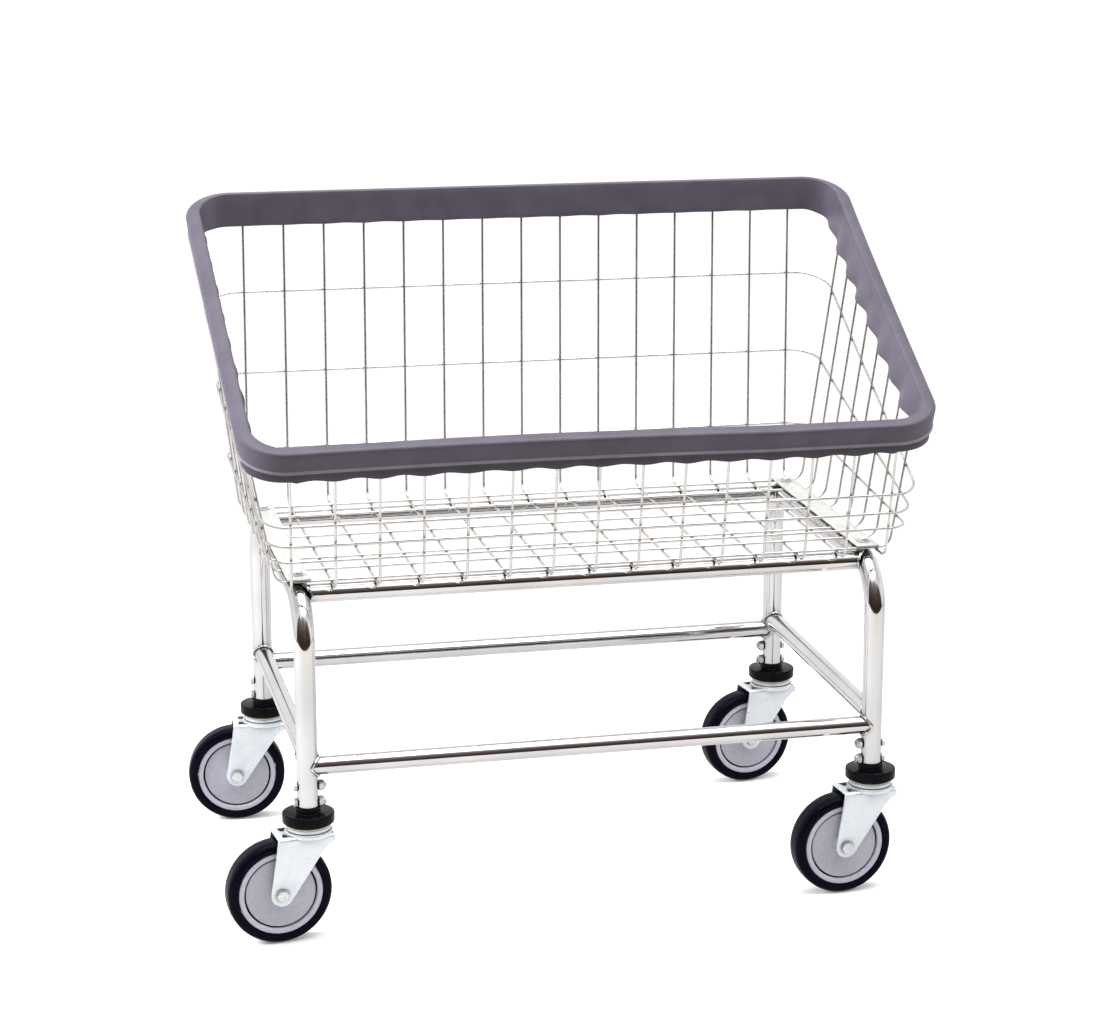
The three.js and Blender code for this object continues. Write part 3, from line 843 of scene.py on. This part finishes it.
def make_basket():
    crosswise = Shape()
    for x in CROSS_XS:
        add_crosswise_wire(crosswise, x)
    add_rod(crosswise, rim_path(12), RIM_WIRE_RADIUS, FACING_UP, RIM_WIRE_SIDES, closed=True)
    add_floor_welds(crosswise)
    show_wires("crosswise_wires", "wires", crosswise, "basket_crosswise_wires")
    lengthwise = Shape()
    for y in LENGTH_YS:
        add_lengthwise_wire(lengthwise, y)
    upper = BANDS["basket_upper_band"]
    add_band(lengthwise, *upper)
    add_band_welds(lengthwise, *upper[:2])
    show_wires("lengthwise_wires", "wires", lengthwise, "basket_lengthwise_wires")
    for level in ("middle", "lower"):
        node = f"basket_{level}_band"
        band = Shape()
        add_band(band, *BANDS[node])
        add_band_welds(band, *BANDS[node][:2])
        show_wires(f"{level}_band", "band", band, node)


# ---- rim bumper ----


def bumper_up(point):
    """The channel leans with the wall under it."""
    inner_x = max(-FLOOR_HALF_X, min(FLOOR_HALF_X, point.x))
    inner_y = max(FLOOR_FRONT_Y, min(FLOOR_BACK_Y, point.y))
    return Vector((point.x - inner_x, point.y - inner_y, point.z - CROSS_Z))


def subdivided(path, longest):
    """The path with extra points, so that no stretch is longer than given."""
    fine = [path[0]]
    for start, end in zip(path, path[1:]):
        pieces = max(1, math.ceil((end - start).length / longest))
        fine += [start.lerp(end, k / pieces) for k in range(1, pieces + 1)]
    return fine


def at_wire(point):
    """1 where a wall wire stands under this point of the rim, 0 midway between two."""
    straight_x = RIM_FRONT.x - RIM_BEND
    if abs(point.x) < straight_x:
        return 0.5 + 0.5 * math.cos(2 * math.pi * point.x / PITCH)
    return 0.5 + 0.5 * math.cos(2 * math.pi * (point.y - PITCH / 2) / PITCH)


def wall_kind(point):
    """How much a point belongs to a side wall: 0 on the front and back, 1 on a side."""
    depth = min(point.y - RIM_FRONT.y, RIM_BACK.y - point.y)
    return clamped(depth / RIM_BEND)


def bumper_edges(point):
    """The heights of the channel's outer and inner edges, and how far its two lips bulge.
    It is squeezed out where a wire stands in its slot, most of all on the right side."""
    side = wall_kind(point)
    right = side if point.x > 0 else 0.25 * side
    at_back = 1 - side if point.y > 0 else 0.0
    wire = at_wire(point)
    wave = wire - 0.5
    wander = noise.noise(point * WANDER_SCALE)
    skirt = BUMPER_SKIRT - SKIRT_DROP * max(0.0, rim_share(point.y))
    outer_edge = skirt + 0.0010 - (FRONT_WAVE + WANDER * wander) * wave * (1 - 0.5 * side)
    inner_wave = INNER_WAVE + 0.0002 * right - 0.0008 * at_back + WANDER * wander
    inner_edge = skirt + 0.0008 - inner_wave * wave
    if point.x < 0:
        inner_edge += LEFT_LIP_CUT * side
    outer_bulge = (OUTER_BULGE + 0.0004 * wander) * wire
    inner_bulge = (BULGE + RIGHT_BULGE * right) * wire * (1 + 0.6 * wander)
    return outer_edge, inner_edge, outer_bulge, inner_bulge


def bumper_section(point):
    """(inward, up) pairs of the channel's section at a point of the rim."""
    outer_edge, inner_edge, outer_bulge, inner_bulge = bumper_edges(point)
    half, top = BUMPER_HALF, BUMPER_TOP
    outer_face = -OUTER_LIP - outer_bulge
    inner_face = half + inner_bulge
    outer = [
        (-BUMPER_SLOT - LIP_EASE, outer_edge),
        (outer_face + LIP_EASE, outer_edge),
        (outer_face, outer_edge + LIP_ROUND),
        (-OUTER_LIP - 0.6 * outer_bulge, (outer_edge + BUMPER_BAND) / 2),
        (-OUTER_LIP, BUMPER_BAND - 0.0016),
        (-OUTER_LIP - 0.0003, BUMPER_BAND - 0.0006),
    ]
    welt = [
        (-half - 0.0006, BUMPER_BAND - 0.0006),
        (-half - WELT_PROUD, BUMPER_BAND),
        (-half - WELT_PROUD, BUMPER_BAND + 0.0008),
        (-half - 0.0004, BUMPER_BAND + 0.0016),
    ]
    face = [(-half, BUMPER_BAND + 0.0030), (-half, -0.006), (-half, 0.001)]
    shoulder = arc(-half + SHOULDER, top - SHOULDER, SHOULDER, 180, 96)
    brow = arc(half - 0.0030, top - 0.0026, BROW, 84, 4, 5)
    inner = [
        (half, 0.001),
        (half + 0.15 * inner_bulge, -0.008),
        (half + 0.5 * inner_bulge, -0.016),
        (half + 0.9 * inner_bulge, mix(-0.016, inner_edge, 0.6)),
        (inner_face, inner_edge + 0.0008),
        (inner_face - LIP_ROUND, inner_edge),
        (BUMPER_SLOT + LIP_EASE + 0.5 * inner_bulge, inner_edge),
    ]
    slot = [
        (BUMPER_SLOT, SLOT_FOOT),
        (BUMPER_SLOT, BUMPER_SLOT),
        (-BUMPER_SLOT, BUMPER_SLOT),
        (-BUMPER_SLOT, SLOT_FOOT),
    ]
    return outer + welt + face + shoulder + brow + inner + slot


def section_look(edge):
    """The look of one edge of the section: 1 below the welt, a darker copy painted as the welt's
    shade; 2 on the welt, a lighter copy painted as a highlight; 0 elsewhere.
    """
    if edge < WELT_SPAN[0]:
        return 1
    return 2 if edge < WELT_SPAN[1] else 0


def joint_swell(from_start, from_end):
    """The section's size near the joint: one end is swollen and the other shrunk."""
    if from_start < from_end:
        return 1 + JOINT_SWELL * math.exp(-from_start / JOINT_RINGS)
    return 1 - JOINT_SHRINK * math.exp(-from_end / JOINT_RINGS)


def make_bumper():
    """One length of channel, whose two ends butt together on the left side."""

    def end_at(y):
        return Vector((-rim_x(y), y, rim_z(y)))

    corners = [
        end_at(BUMPER_JOINT_Y),
        mirror_x(RIM_FRONT),
        RIM_FRONT,
        RIM_BACK,
        mirror_x(RIM_BACK),
        end_at(BUMPER_JOINT_Y + BUMPER_JOINT_GAP),
    ]
    path = subdivided(rounded_path(corners, lambda corner: RIM_BEND, 14), BUMPER_STEP)
    rings = []
    for k, (point, side, up) in enumerate(stations(path, bumper_up)):
        swell = joint_swell(k, len(path) - 1 - k)
        section = bumper_section(point)
        rings.append([point + side * (s * swell) + up * (u * swell) for s, u in section])
    shape = Shape()
    shape.loft(rings)
    count = len(rings[0])
    # The skirt below the welt gets the painted shade, and the welt gets the painted highlight.
    for k in range(len(shape.faces) - 2):
        shape.looks[k] = section_look(k % count)
    settle(shape)
    mesh = to_mesh("bumper", shape, ["vinyl", "vinyl_painted_shade", "vinyl_painted_highlight"], 50)
    show("bumper_channel", mesh, "cart", ["rim_bumper"])


# ---- strips and fasteners ----


def rectangle(left, right, bottom, top):
    """The four corners of a rectangle, in order round it."""
    return [(left, bottom), (right, bottom), (right, top), (left, top)]


def turned(profile, segments=64):
    shape = Shape()
    add_turned(shape, profile, segments)
    return shape


def cylinder(radius, lowest, highest, segments=64):
    return turned(rectangle(0, radius, lowest, highest), segments)


def box_shape(lowest, highest):
    outline = rectangle(lowest.x, highest.x, lowest.y, highest.y)
    return lofted([[Vector((x, y, z)) for x, y in outline] for z in (lowest.z, highest.z)])


def make_strips():
    steel = ["galvanised_strip"]
    corner = Vector((*STRIP_HALF, 0))
    for side, sign in SIDES.items():
        x = sign * LEG_X
        foot, top = Vector((x, 0, STRIP_Z)), Vector((x, 0, STRIP_TOP))
        plate = to_mesh("strip", box_shape(foot - corner, top + corner), steel)
        for y in (-SCREW_Y, SCREW_Y):
            drill = to_mesh("drill", cylinder(STRIP_HOLE, -CUT_CLEAR, CUT_CLEAR, 32), steel)
            drill.transform(Matrix.Translation((x, y, STRIP_Z)))
            plate = combined(plate, [("DIFFERENCE", drill)])
        plate = modified(plate, [bevel(30)])
        tidy_mesh(plate)
        show(side + "_strip", plate, "cart", [side + "_hold_down_strip"])


def show_fastener(name, mesh_name, shape, body, node, place):
    mesh = to_mesh(mesh_name, shape, ["zinc_fastener"], 25)
    show(name, mesh, body, [node], place)


def screw_shape(foot, seat):
    """A pointed hex screw with a washer face, its head on a seat."""
    shape = Shape()
    washer_top = seat + 0.0010
    add_hex(shape, SCREW_CORNER, seat + 0.0008, seat + SCREW_HEAD)
    add_turned(shape, [
        (0, foot), (0.6 * SCREW_SHANK, foot), (SCREW_SHANK, foot + 0.003), (SCREW_SHANK, seat),
        (SCREW_WASHER, seat), (SCREW_WASHER, seat + 0.0006), (0.0066, washer_top), (0, washer_top),
    ], 40)
    return shape


def make_strip_screws():
    for side, sign in SIDES.items():
        for end, along in ENDS.items():
            node = f"{end}_{side}_strip_screw"
            screw = screw_shape(low(node, 2), high(node, 2) - SCREW_HEAD)
            place = CART @ Matrix.Translation((sign * LEG_X, along * SCREW_Y, 0))
            show_fastener(node + "_metal", "screw", screw, "cart", node, place)


def add_bolt(shape, reach, shank, head, head_height, nut, nut_height, tail):
    """A bolt along Z through a grip of twice reach, with its head below and a nut above."""
    upper = Shape()
    add_hex(upper, head, 0, head_height)
    shape.add([Vector((v.x, -v.y, -v.z - reach)) for v in upper.verts], upper.faces)
    add_hex(shape, nut, reach, reach + nut_height * NUT_HEX, both_ends=True)
    collar = nut * NUT_COLLAR
    nut_top = reach + nut_height
    end = nut_top + tail
    add_turned(shape, [
        (0, reach + nut_height * 0.6), (collar, reach + nut_height * 0.6),
        (collar, reach + nut_height * 0.92), (collar - THREAD_CHAMFER, nut_top), (0, nut_top),
    ], 40)
    add_turned(shape, [
        (0, -reach), (shank, -reach), (shank, end - THREAD_CHAMFER),
        (shank - THREAD_CHAMFER, end), (0, end),
    ], 32)


def make_leg_bolts():
    for end, along in ENDS.items():
        for side, sign in SIDES.items():
            for level, z in LEG_BOLT_HEIGHTS.items():
                node = f"{end}_{side}_{level}_leg_bolt"
                bolt = Shape()
                add_bolt(bolt, HOOP_RADIUS + BOLT_GAP, **LEG_BOLT)
                turn = Matrix.Rotation(-sign * math.pi / 2, 4, "Y")
                place = CART @ Matrix.Translation((sign * LEG_X, along * LEG_Y, z)) @ turn
                show_fastener(node + "_metal", "bolt", bolt, "cart", node, place)


# ---- casters ----


def make_stem(name, place):
    """The stem inside the leg, its kingpin, and the riveted head under the fork's top."""
    node = name + "_stem"
    top, foot = high(node, 2), low(node, 2)
    shoulder = low(name + "_bumper_ring", 2)
    rivet = foot + 0.004
    stem = turned([
        (0, foot), (0.008, foot), (0.0102, foot + 0.0012), (0.0105, rivet),
        (KINGPIN_RADIUS, rivet), (KINGPIN_RADIUS, shoulder), (STEM_RADIUS, shoulder),
        (STEM_RADIUS, top - 0.003), (STEM_RADIUS - 0.003, top), (0, top),
    ])
    show(node + "_metal", to_mesh("stem", stem, ["zinc_pressing"]), "cart", [node], place)


def make_bumper_ring(name, place):
    """The black disc under the leg, with a collar round the leg's foot."""
    node = name + "_bumper_ring"
    radius, foot = thickness(node, 0) / 2, low(node, 2)
    top = high(node, 2) - RING_BOSS
    floor, lip = top + 0.0033, top + COLLAR_HEIGHT
    socket = HOOP_RADIUS + 0.0002
    profile = [(STEM_HOLE, foot), (radius - 0.0022, foot)]
    profile += arc(radius - 0.0018, foot + 0.0018, 0.0018, -90, 0)
    profile += arc(radius - 0.0016, top - 0.0016, 0.0016, 0, 90)
    profile += arc(COLLAR_RADIUS + 0.0012, top + 0.0012, 0.0012, 270, 180, 4)
    profile += arc(COLLAR_RADIUS - 0.0008, lip - 0.0008, 0.0008, 0, 90, 4)
    profile += [(socket, lip), (socket, floor), (STEM_HOLE, floor)]
    mesh = to_mesh("ring", turned(profile, WHEEL_SEGMENTS), ["black_plastic"], 30)
    show(node + "_rubber", mesh, "cart", [node], place)


def make_raceway(name, place):
    """The bearing's housing: a pale rolled lip over a white-plated cup."""
    node = name + "_raceway"
    foot, top = low(node, 2), high(node, 2)
    radius = thickness(node, 0) / 2
    seam = foot + CUP_HEIGHT
    shape = Shape()
    cup = [(KINGPIN_HOLE, foot), (radius - 0.0012, foot)]
    cup += arc(radius - 0.0012, foot + 0.0012, 0.0012, -60, 0, 4)
    cup += [(radius - 0.0004, seam), (KINGPIN_HOLE, seam)]
    add_turned(shape, cup, WHEEL_SEGMENTS, 1)
    lip = [(KINGPIN_HOLE, seam - 0.0002), (radius - 0.0016, seam - 0.0002)]
    lip += arc(radius - 0.0016, seam + 0.0014, 0.0015, -70, 80, 8)
    lip += [(radius - 0.005, top), (KINGPIN_HOLE, top)]
    add_turned(shape, lip, WHEEL_SEGMENTS, 0)
    mesh = to_mesh("raceway", shape, ["yellow_zinc", "zinc_pressing"], 40)
    show(node + "_metal", mesh, "cart", [node], place)


def extruded(outline, lowest, highest):
    """A prism along Y of an (x, z) outline."""
    return lofted([[Vector((x, y, z)) for x, z in outline] for y in (lowest, highest)])


def folded_sheet():
    """The fork's sheet, folded to an upside-down U, longer than it is cut."""
    outer_y, inner_top = CHEEK_INNER + SHEET, FORK_PLATE_Z - SHEET
    foot = WHEEL_RADIUS - 0.02
    outer = [(outer_y, foot)]
    outer += arc(outer_y - OUTER_FOLD, FORK_PLATE_Z - OUTER_FOLD, OUTER_FOLD, 0, 90)
    inner = [(CHEEK_INNER, foot)]
    inner += arc(CHEEK_INNER - INNER_FOLD, inner_top - INNER_FOLD, INNER_FOLD, 0, 90)
    section = outer + [(-y, z) for y, z in reversed(outer)]
    section += [(-y, z) for y, z in inner] + inner[::-1]
    return lofted([[Vector((x, y, z)) for y, z in section] for x in (-0.07, 0.04)])


def cheek_outline():
    """The fork's side view in (x, z), from its trailing top corner round its foot to the
    hollow curve of its leading edge."""
    above = FORK_PLATE_Z + CUT_CLEAR
    outline = [(FORK_TAIL_X, above), (FORK_TAIL_X, FORK_PLATE_Z)]
    outline.append((-TRAIL - FORK_FOOT_RADIUS + 0.0001, WHEEL_RADIUS + 0.002))
    outline += arc(-TRAIL, WHEEL_RADIUS, FORK_FOOT_RADIUS, 180, 316.98, 24)[1:]
    lead, knee, brow = Vector((0.011, 0.112)), Vector((0.018, 0.122)), Vector((FORK_BROW_X, 0.126))
    for k in range(9):
        t = k / 8
        outline.append(tuple(lead * (1 - t) ** 2 + knee * 2 * t * (1 - t) + brow * t**2))
    outline.append((FORK_BROW_X, above))
    return outline


def window(sign):
    """The gap in the fork's top between its round crown and its folded trailing end."""
    edge, apex = sign * 0.0165, sign * 0.006
    outline = [(-0.0335, apex), (-0.0355, edge), (-0.0205, edge), (-0.0290, apex)]
    levels = (FORK_PLATE_Z - CUT_CLEAR, FORK_PLATE_Z + CUT_CLEAR)
    return lofted([[Vector((x, y, z)) for x, y in outline] for z in levels])


def crown_shape():
    """The round of the fork's top, with a rounded upper edge."""
    foot = FORK_PLATE_Z - SHEET
    profile = [(0, foot), (CROWN_RADIUS, foot), (CROWN_RADIUS, FORK_PLATE_Z)]
    profile += arc(CROWN_RADIUS - CROWN_RISE, FORK_PLATE_Z, CROWN_RISE, 0, 90)
    profile += [(0, FORK_TOP_Z)]
    return turned(profile, WHEEL_SEGMENTS)


def fork_mesh():
    steel = ["zinc_pressing"]
    pin_hole = cylinder(KINGPIN_HOLE, FORK_PLATE_Z - 2 * CUT_CLEAR, FORK_TOP_Z + 2 * CUT_CLEAR)
    axle_hole = to_mesh("hole", cylinder(AXLE_HOLE, -0.04, 0.04, 32), steel)
    axle_hole.transform(on_axle())
    cuts = [
        ("INTERSECT", to_mesh("cut", extruded(cheek_outline(), -0.05, 0.05), steel)),
        ("DIFFERENCE", to_mesh("window", window(1), steel)),
        ("DIFFERENCE", to_mesh("window", window(-1), steel)),
        ("UNION", to_mesh("crown", crown_shape(), steel)),
        ("DIFFERENCE", to_mesh("hole", pin_hole, steel)),
        ("DIFFERENCE", axle_hole),
    ]
    mesh = combined(to_mesh("fork", folded_sheet(), steel), cuts)
    mesh = modified(mesh, [bevel(40)])
    tidy_mesh(mesh, 30)
    return mesh


def on_axle():
    """From about Z to along Y at the axle."""
    return Matrix.Translation((-TRAIL, 0, WHEEL_RADIUS)) @ Matrix.Rotation(-math.pi / 2, 4, "X")


def make_axle(name, place):
    reach = CHEEK_INNER + SHEET + BOLT_GAP
    bolt = Shape()
    add_bolt(bolt, reach, **AXLE_BOLT)
    for sign in (-1, 1):
        levels = (sign * reach, sign * (reach + WASHER_HEIGHT))
        add_turned(bolt, rectangle(WASHER_BORE, WASHER_RADIUS, *levels), 48)
    node = name + "_axle_bolt"
    show_fastener(node + "_metal", "axle", bolt, name + "_swivel", node, place @ on_axle())
    half = CHEEK_INNER - BOLT_GAP
    sleeve = turned(rectangle(AXLE_HOLE, SLEEVE_RADIUS, -half, half), 48)
    node = name + "_axle_sleeve"
    mesh = to_mesh("sleeve", sleeve, ["zinc_pressing"])
    show(node + "_metal", mesh, name + "_swivel", [node], place @ on_axle())


def hub_mesh():
    """A moulded wheel centre: a flat disc, a groove round it coloured near-black as painted shade,
    and a raised rim.
    """
    shape = Shape()
    disc = [(0.0421, 0.004)]
    disc += arc(0.0415, HUB_DISC - 0.0006, 0.0006, 0, 90, 3)
    disc += [(0.016, HUB_DISC), (0.0145, HUB_DISC + 0.0006), (0.0112, HUB_BOSS - 0.0004)]
    disc += [(0.0104, HUB_BOSS), (HUB_BORE, HUB_BOSS)]
    add_turned(shape, mirrored(disc), WHEEL_SEGMENTS, 0)
    skin = HUB_OUTER - 0.0001
    rim = [(0.0445, 0.004)]
    rim += arc(0.0453, HUB_RIM - 0.0008, 0.0008, 180, 90, 3)
    rim += arc(0.0498, HUB_RIM - 0.0010, 0.0010, 90, 0, 3)
    rim += [(skin, 0.010), (skin, 0.004)]
    add_turned(shape, mirrored(rim[::-1]), WHEEL_SEGMENTS, 1)
    add_turned(shape, rectangle(0.0416, 0.0450, -0.0095, 0.0095), WHEEL_SEGMENTS, 2)
    return to_mesh("hub", shape, ["hub_plastic", "hub_rim_plastic", "hub_groove_painted_shade"], 30)


def tyre_mesh():
    """A rounded solid tyre with a faint mould line round the middle of its tread."""
    half = [(WHEEL_RADIUS - 0.0001, 0.0006), (WHEEL_RADIUS, 0.0012), (WHEEL_RADIUS - 0.0002, 0.005)]
    half += arc(WHEEL_RADIUS - 0.0082, 0.0078, 0.0079, 14, 84, 10)
    half += [(TYRE_INNER + 0.0022, TYRE_HALF - 0.0002)]
    half += arc(TYRE_INNER + 0.0014, TYRE_HALF - 0.0016, 0.0012, 90, 180, 4)
    return to_mesh("tyre", turned(mirrored(half), WHEEL_SEGMENTS), ["tyre_rubber"], 40)


def make_caster(name, fork):
    leg = LEGS[name]
    axis = JOINTS[name + "_wheel_roll"]["axis"]
    turn = math.atan2(-axis[0], axis[1])
    fixed = Matrix.Translation((leg.x, leg.y, 0))
    turned = fixed @ Matrix.Rotation(turn, 4, "Z")
    wheel = turned @ on_axle()
    make_stem(name, fixed)
    make_bumper_ring(name, fixed)
    make_raceway(name, fixed)
    show(name + "_fork_pressing", fork.copy(), name + "_swivel", [name + "_fork"], turned)
    make_axle(name, turned)
    show(name + "_wheel_centre", hub_mesh(), name + "_wheel", [name + "_hub"], wheel)
    show(name + "_wheel_tyre", tyre_mesh(), name + "_wheel", [name + "_tyre"], wheel)


make_base_frame()
make_basket()
make_bumper()
make_strips()
make_strip_screws()
make_leg_bolts()
fork = fork_mesh()
for caster_name in PLACES:
    make_caster(caster_name, fork)


# ---- studio ----

FLOOR_HALF_WIDTH = 5.0
FLOOR_FRONT = -1.75
FLOOR_BACK = 6.0
MIRRORED_FLOOR_BACK = 1.1  # where the floor that the chrome mirrors is at its dullest
MIRRORED_FLOOR = (  # its colours from the front backwards
    (0.0, (0.55, 0.515, 0.47)),
    (0.2, (0.485, 0.478, 0.472)),
    (1.0, (0.39, 0.38, 0.40)),
)
FLOOR_WHITE = (0.94, 0.93, 0.91, 1)
FLOOR_FADE = (0.6, 1.4)  # how far from the origin the floor turns to blank white
BLANK = {"Color": (1, 1, 1, 1), "Strength": 1.1}
STUDIO_WHITE = (1.0, 0.99, 0.985, 1)
ROOM_AHEAD = (-0.17, -0.985, -0.35)  # towards the middle of the dark room
ROOM_WALLS = (  # its colours by height, as the sine of the angle above the horizon
    (0.0, (0.042, 0.027, 0.020)),
    (0.25, (0.075, 0.056, 0.046)),
    (0.50, (0.13, 0.105, 0.100)),
    (0.66, (0.25, 0.220, 0.225)),
    (0.76, (0.55, 0.520, 0.545)),
    (0.82, (0.95, 0.930, 0.935)),
    (0.88, (1.4, 1.38, 1.37)),
)
DIMMED = 0.74  # how bright the studio is high up behind the cart


def floor_material():
    look = Look(
        "floor",
        Roughness=0.9,
        Specular_IOR_Level=0.0,
        Emission_Color=(1, 0.99, 0.98, 1),
        Emission_Strength=0.16,
    )
    camera = look.seen_by_camera()
    depth = look.add("SeparateXYZ", {"Vector": look.where}).outputs["Y"]
    depth_share = look.spread(depth, (FLOOR_FRONT, MIRRORED_FLOOR_BACK))
    colour = look.blend(camera, look.ramp(depth_share, MIRRORED_FLOOR), FLOOR_WHITE)
    look.links.new(colour, look.shader.inputs["Base Color"])
    distance = look.add("VectorMath", {0: look.where}, operation="LENGTH").outputs["Value"]
    far = look.spread(distance, FLOOR_FADE, eased=True)
    fade = look.add("Math", {0: far, 1: camera}, operation="MULTIPLY").outputs["Value"]
    blank = look.add("Emission", BLANK).outputs["Emission"]
    faded = look.add("MixShader", {"Fac": fade, 1: look.shader.outputs["BSDF"], 2: blank})
    look.links.new(faded.outputs["Shader"], look.nodes["Material Output"].inputs["Surface"])
    return look.material


def make_floor():
    """A white floor with soft shadows. It ends in front of the cart, where the chrome
    starts to mirror the dark room. The chrome sees it duller than the camera does, and
    for the camera it turns to blank white away from the cart."""
    mesh = bpy.data.meshes.new("floor")
    outline = rectangle(-FLOOR_HALF_WIDTH, FLOOR_HALF_WIDTH, FLOOR_FRONT, FLOOR_BACK)
    mesh.from_pydata([(x, y, 0) for x, y in outline], [], [[0, 1, 2, 3]])
    mesh.materials.append(floor_material())
    floor = linked("floor", mesh)


def room_walls(graph, direction, up):
    """The dark room's walls, lighter and greyer with height, with uneven patches."""
    inputs = {"Scale": 3.5, "Detail": 3.0, "Vector": direction}
    patches = graph.add("TexNoise", inputs).outputs["Fac"]
    uneven = graph.spread(patches, NOISE_SPAN, (-0.10, 0.14))
    height = graph.add("Math", {0: up, 1: uneven}, operation="ADD").outputs["Value"]
    return graph.ramp(height, ROOM_WALLS)


def make_world():
    """A white studio with a dark, warm room in front of the cart, which the chrome shows.
    The camera sees blank white instead."""
    world = bpy.data.worlds.new("studio")
    bpy.context.scene.world = world
    world.use_nodes = True
    graph = Graph(world.node_tree)
    direction = graph.add("TexCoord").outputs["Generated"]
    up = graph.add("SeparateXYZ", {"Vector": direction}).outputs["Z"]
    inputs = {0: direction, 1: ROOM_AHEAD}
    ahead = graph.add("VectorMath", inputs, operation="DOT_PRODUCT").outputs["Value"]
    in_room = graph.spread(ahead, (0.14, 0.34), eased=True)
    room = graph.blend(in_room, STUDIO_WHITE, room_walls(graph, direction, up))
    high_up = graph.spread(up, (0.3, 0.6), (1.0, DIMMED), eased=True)
    in_front = graph.spread(ahead, (-0.3, 0.2), eased=True)
    inputs = {0: high_up, 1: in_front}
    brightness = graph.add("Math", inputs, operation="MAXIMUM").outputs["Value"]
    inputs = {0: room, "Scale": brightness}
    mirrored_room = graph.add("VectorMath", inputs, operation="SCALE").outputs["Vector"]
    background = graph.nodes["Background"]
    graph.links.new(mirrored_room, background.inputs["Color"])
    choose = graph.add("MixShader", {
        "Fac": graph.seen_by_camera(),
        1: background.outputs["Background"],
        2: graph.add("Background", BLANK).outputs["Background"],
    })
    graph.links.new(choose.outputs["Shader"], graph.nodes["World Output"].inputs["Surface"])


def make_light(name, spot, target, size, power, mirrored=True):
    """A round soft light. The chrome doesn't show it unless it is mirrored."""
    data = bpy.data.lights.new(name, "AREA")
    data.shape = "DISK"
    data.size = size
    data.energy = power
    light = linked(name, data)
    light.location = spot
    light.rotation_mode = "QUATERNION"
    light.rotation_quaternion = (Vector(spot) - Vector(target)).to_track_quat("Z", "Y")
    light.visible_glossy = mirrored


CAMERA_SPOT = (-0.76797, -3.44886, 1.34514)  # in the cart's own axes
CAMERA_TARGET = (0.13197, 0.1331, 0.38599)
CAMERA_SENSOR = 36
CAMERA_LENS = 94.53
CAMERA_SHIFT = (-0.0753, 0.0187)
CAMERA_ROLL = math.radians(0.314)
CAMERA_FAR = 50


def make_camera():
    spot = CART @ Vector(CAMERA_SPOT)
    target = CART @ Vector(CAMERA_TARGET)
    data = bpy.data.cameras.new("camera")
    data.sensor_width = CAMERA_SENSOR
    data.lens = CAMERA_LENS
    data.shift_x, data.shift_y = CAMERA_SHIFT
    data.clip_end = CAMERA_FAR
    camera = linked("camera", data)
    camera.location = spot
    aim = (target - spot).to_track_quat("-Z", "Y").to_matrix().to_4x4()
    camera.rotation_mode = "QUATERNION"
    camera.rotation_quaternion = (aim @ Matrix.Rotation(CAMERA_ROLL, 4, "Z")).to_quaternion()
    bpy.context.scene.camera = camera


make_floor()
make_world()
make_light("ceiling", (0.2, -0.4, 3.6), (0, 0, 0.4), size=4.0, power=128)
make_light("right", (2.9, -1.2, 2.0), (0, 0, 0.5), size=1.4, power=26, mirrored=False)
make_light("left", (-2.9, 0.3, 2.0), (0, 0, 0.6), size=1.6, power=150, mirrored=False)
make_camera()
bpy.context.scene.view_settings.view_transform = "Standard"
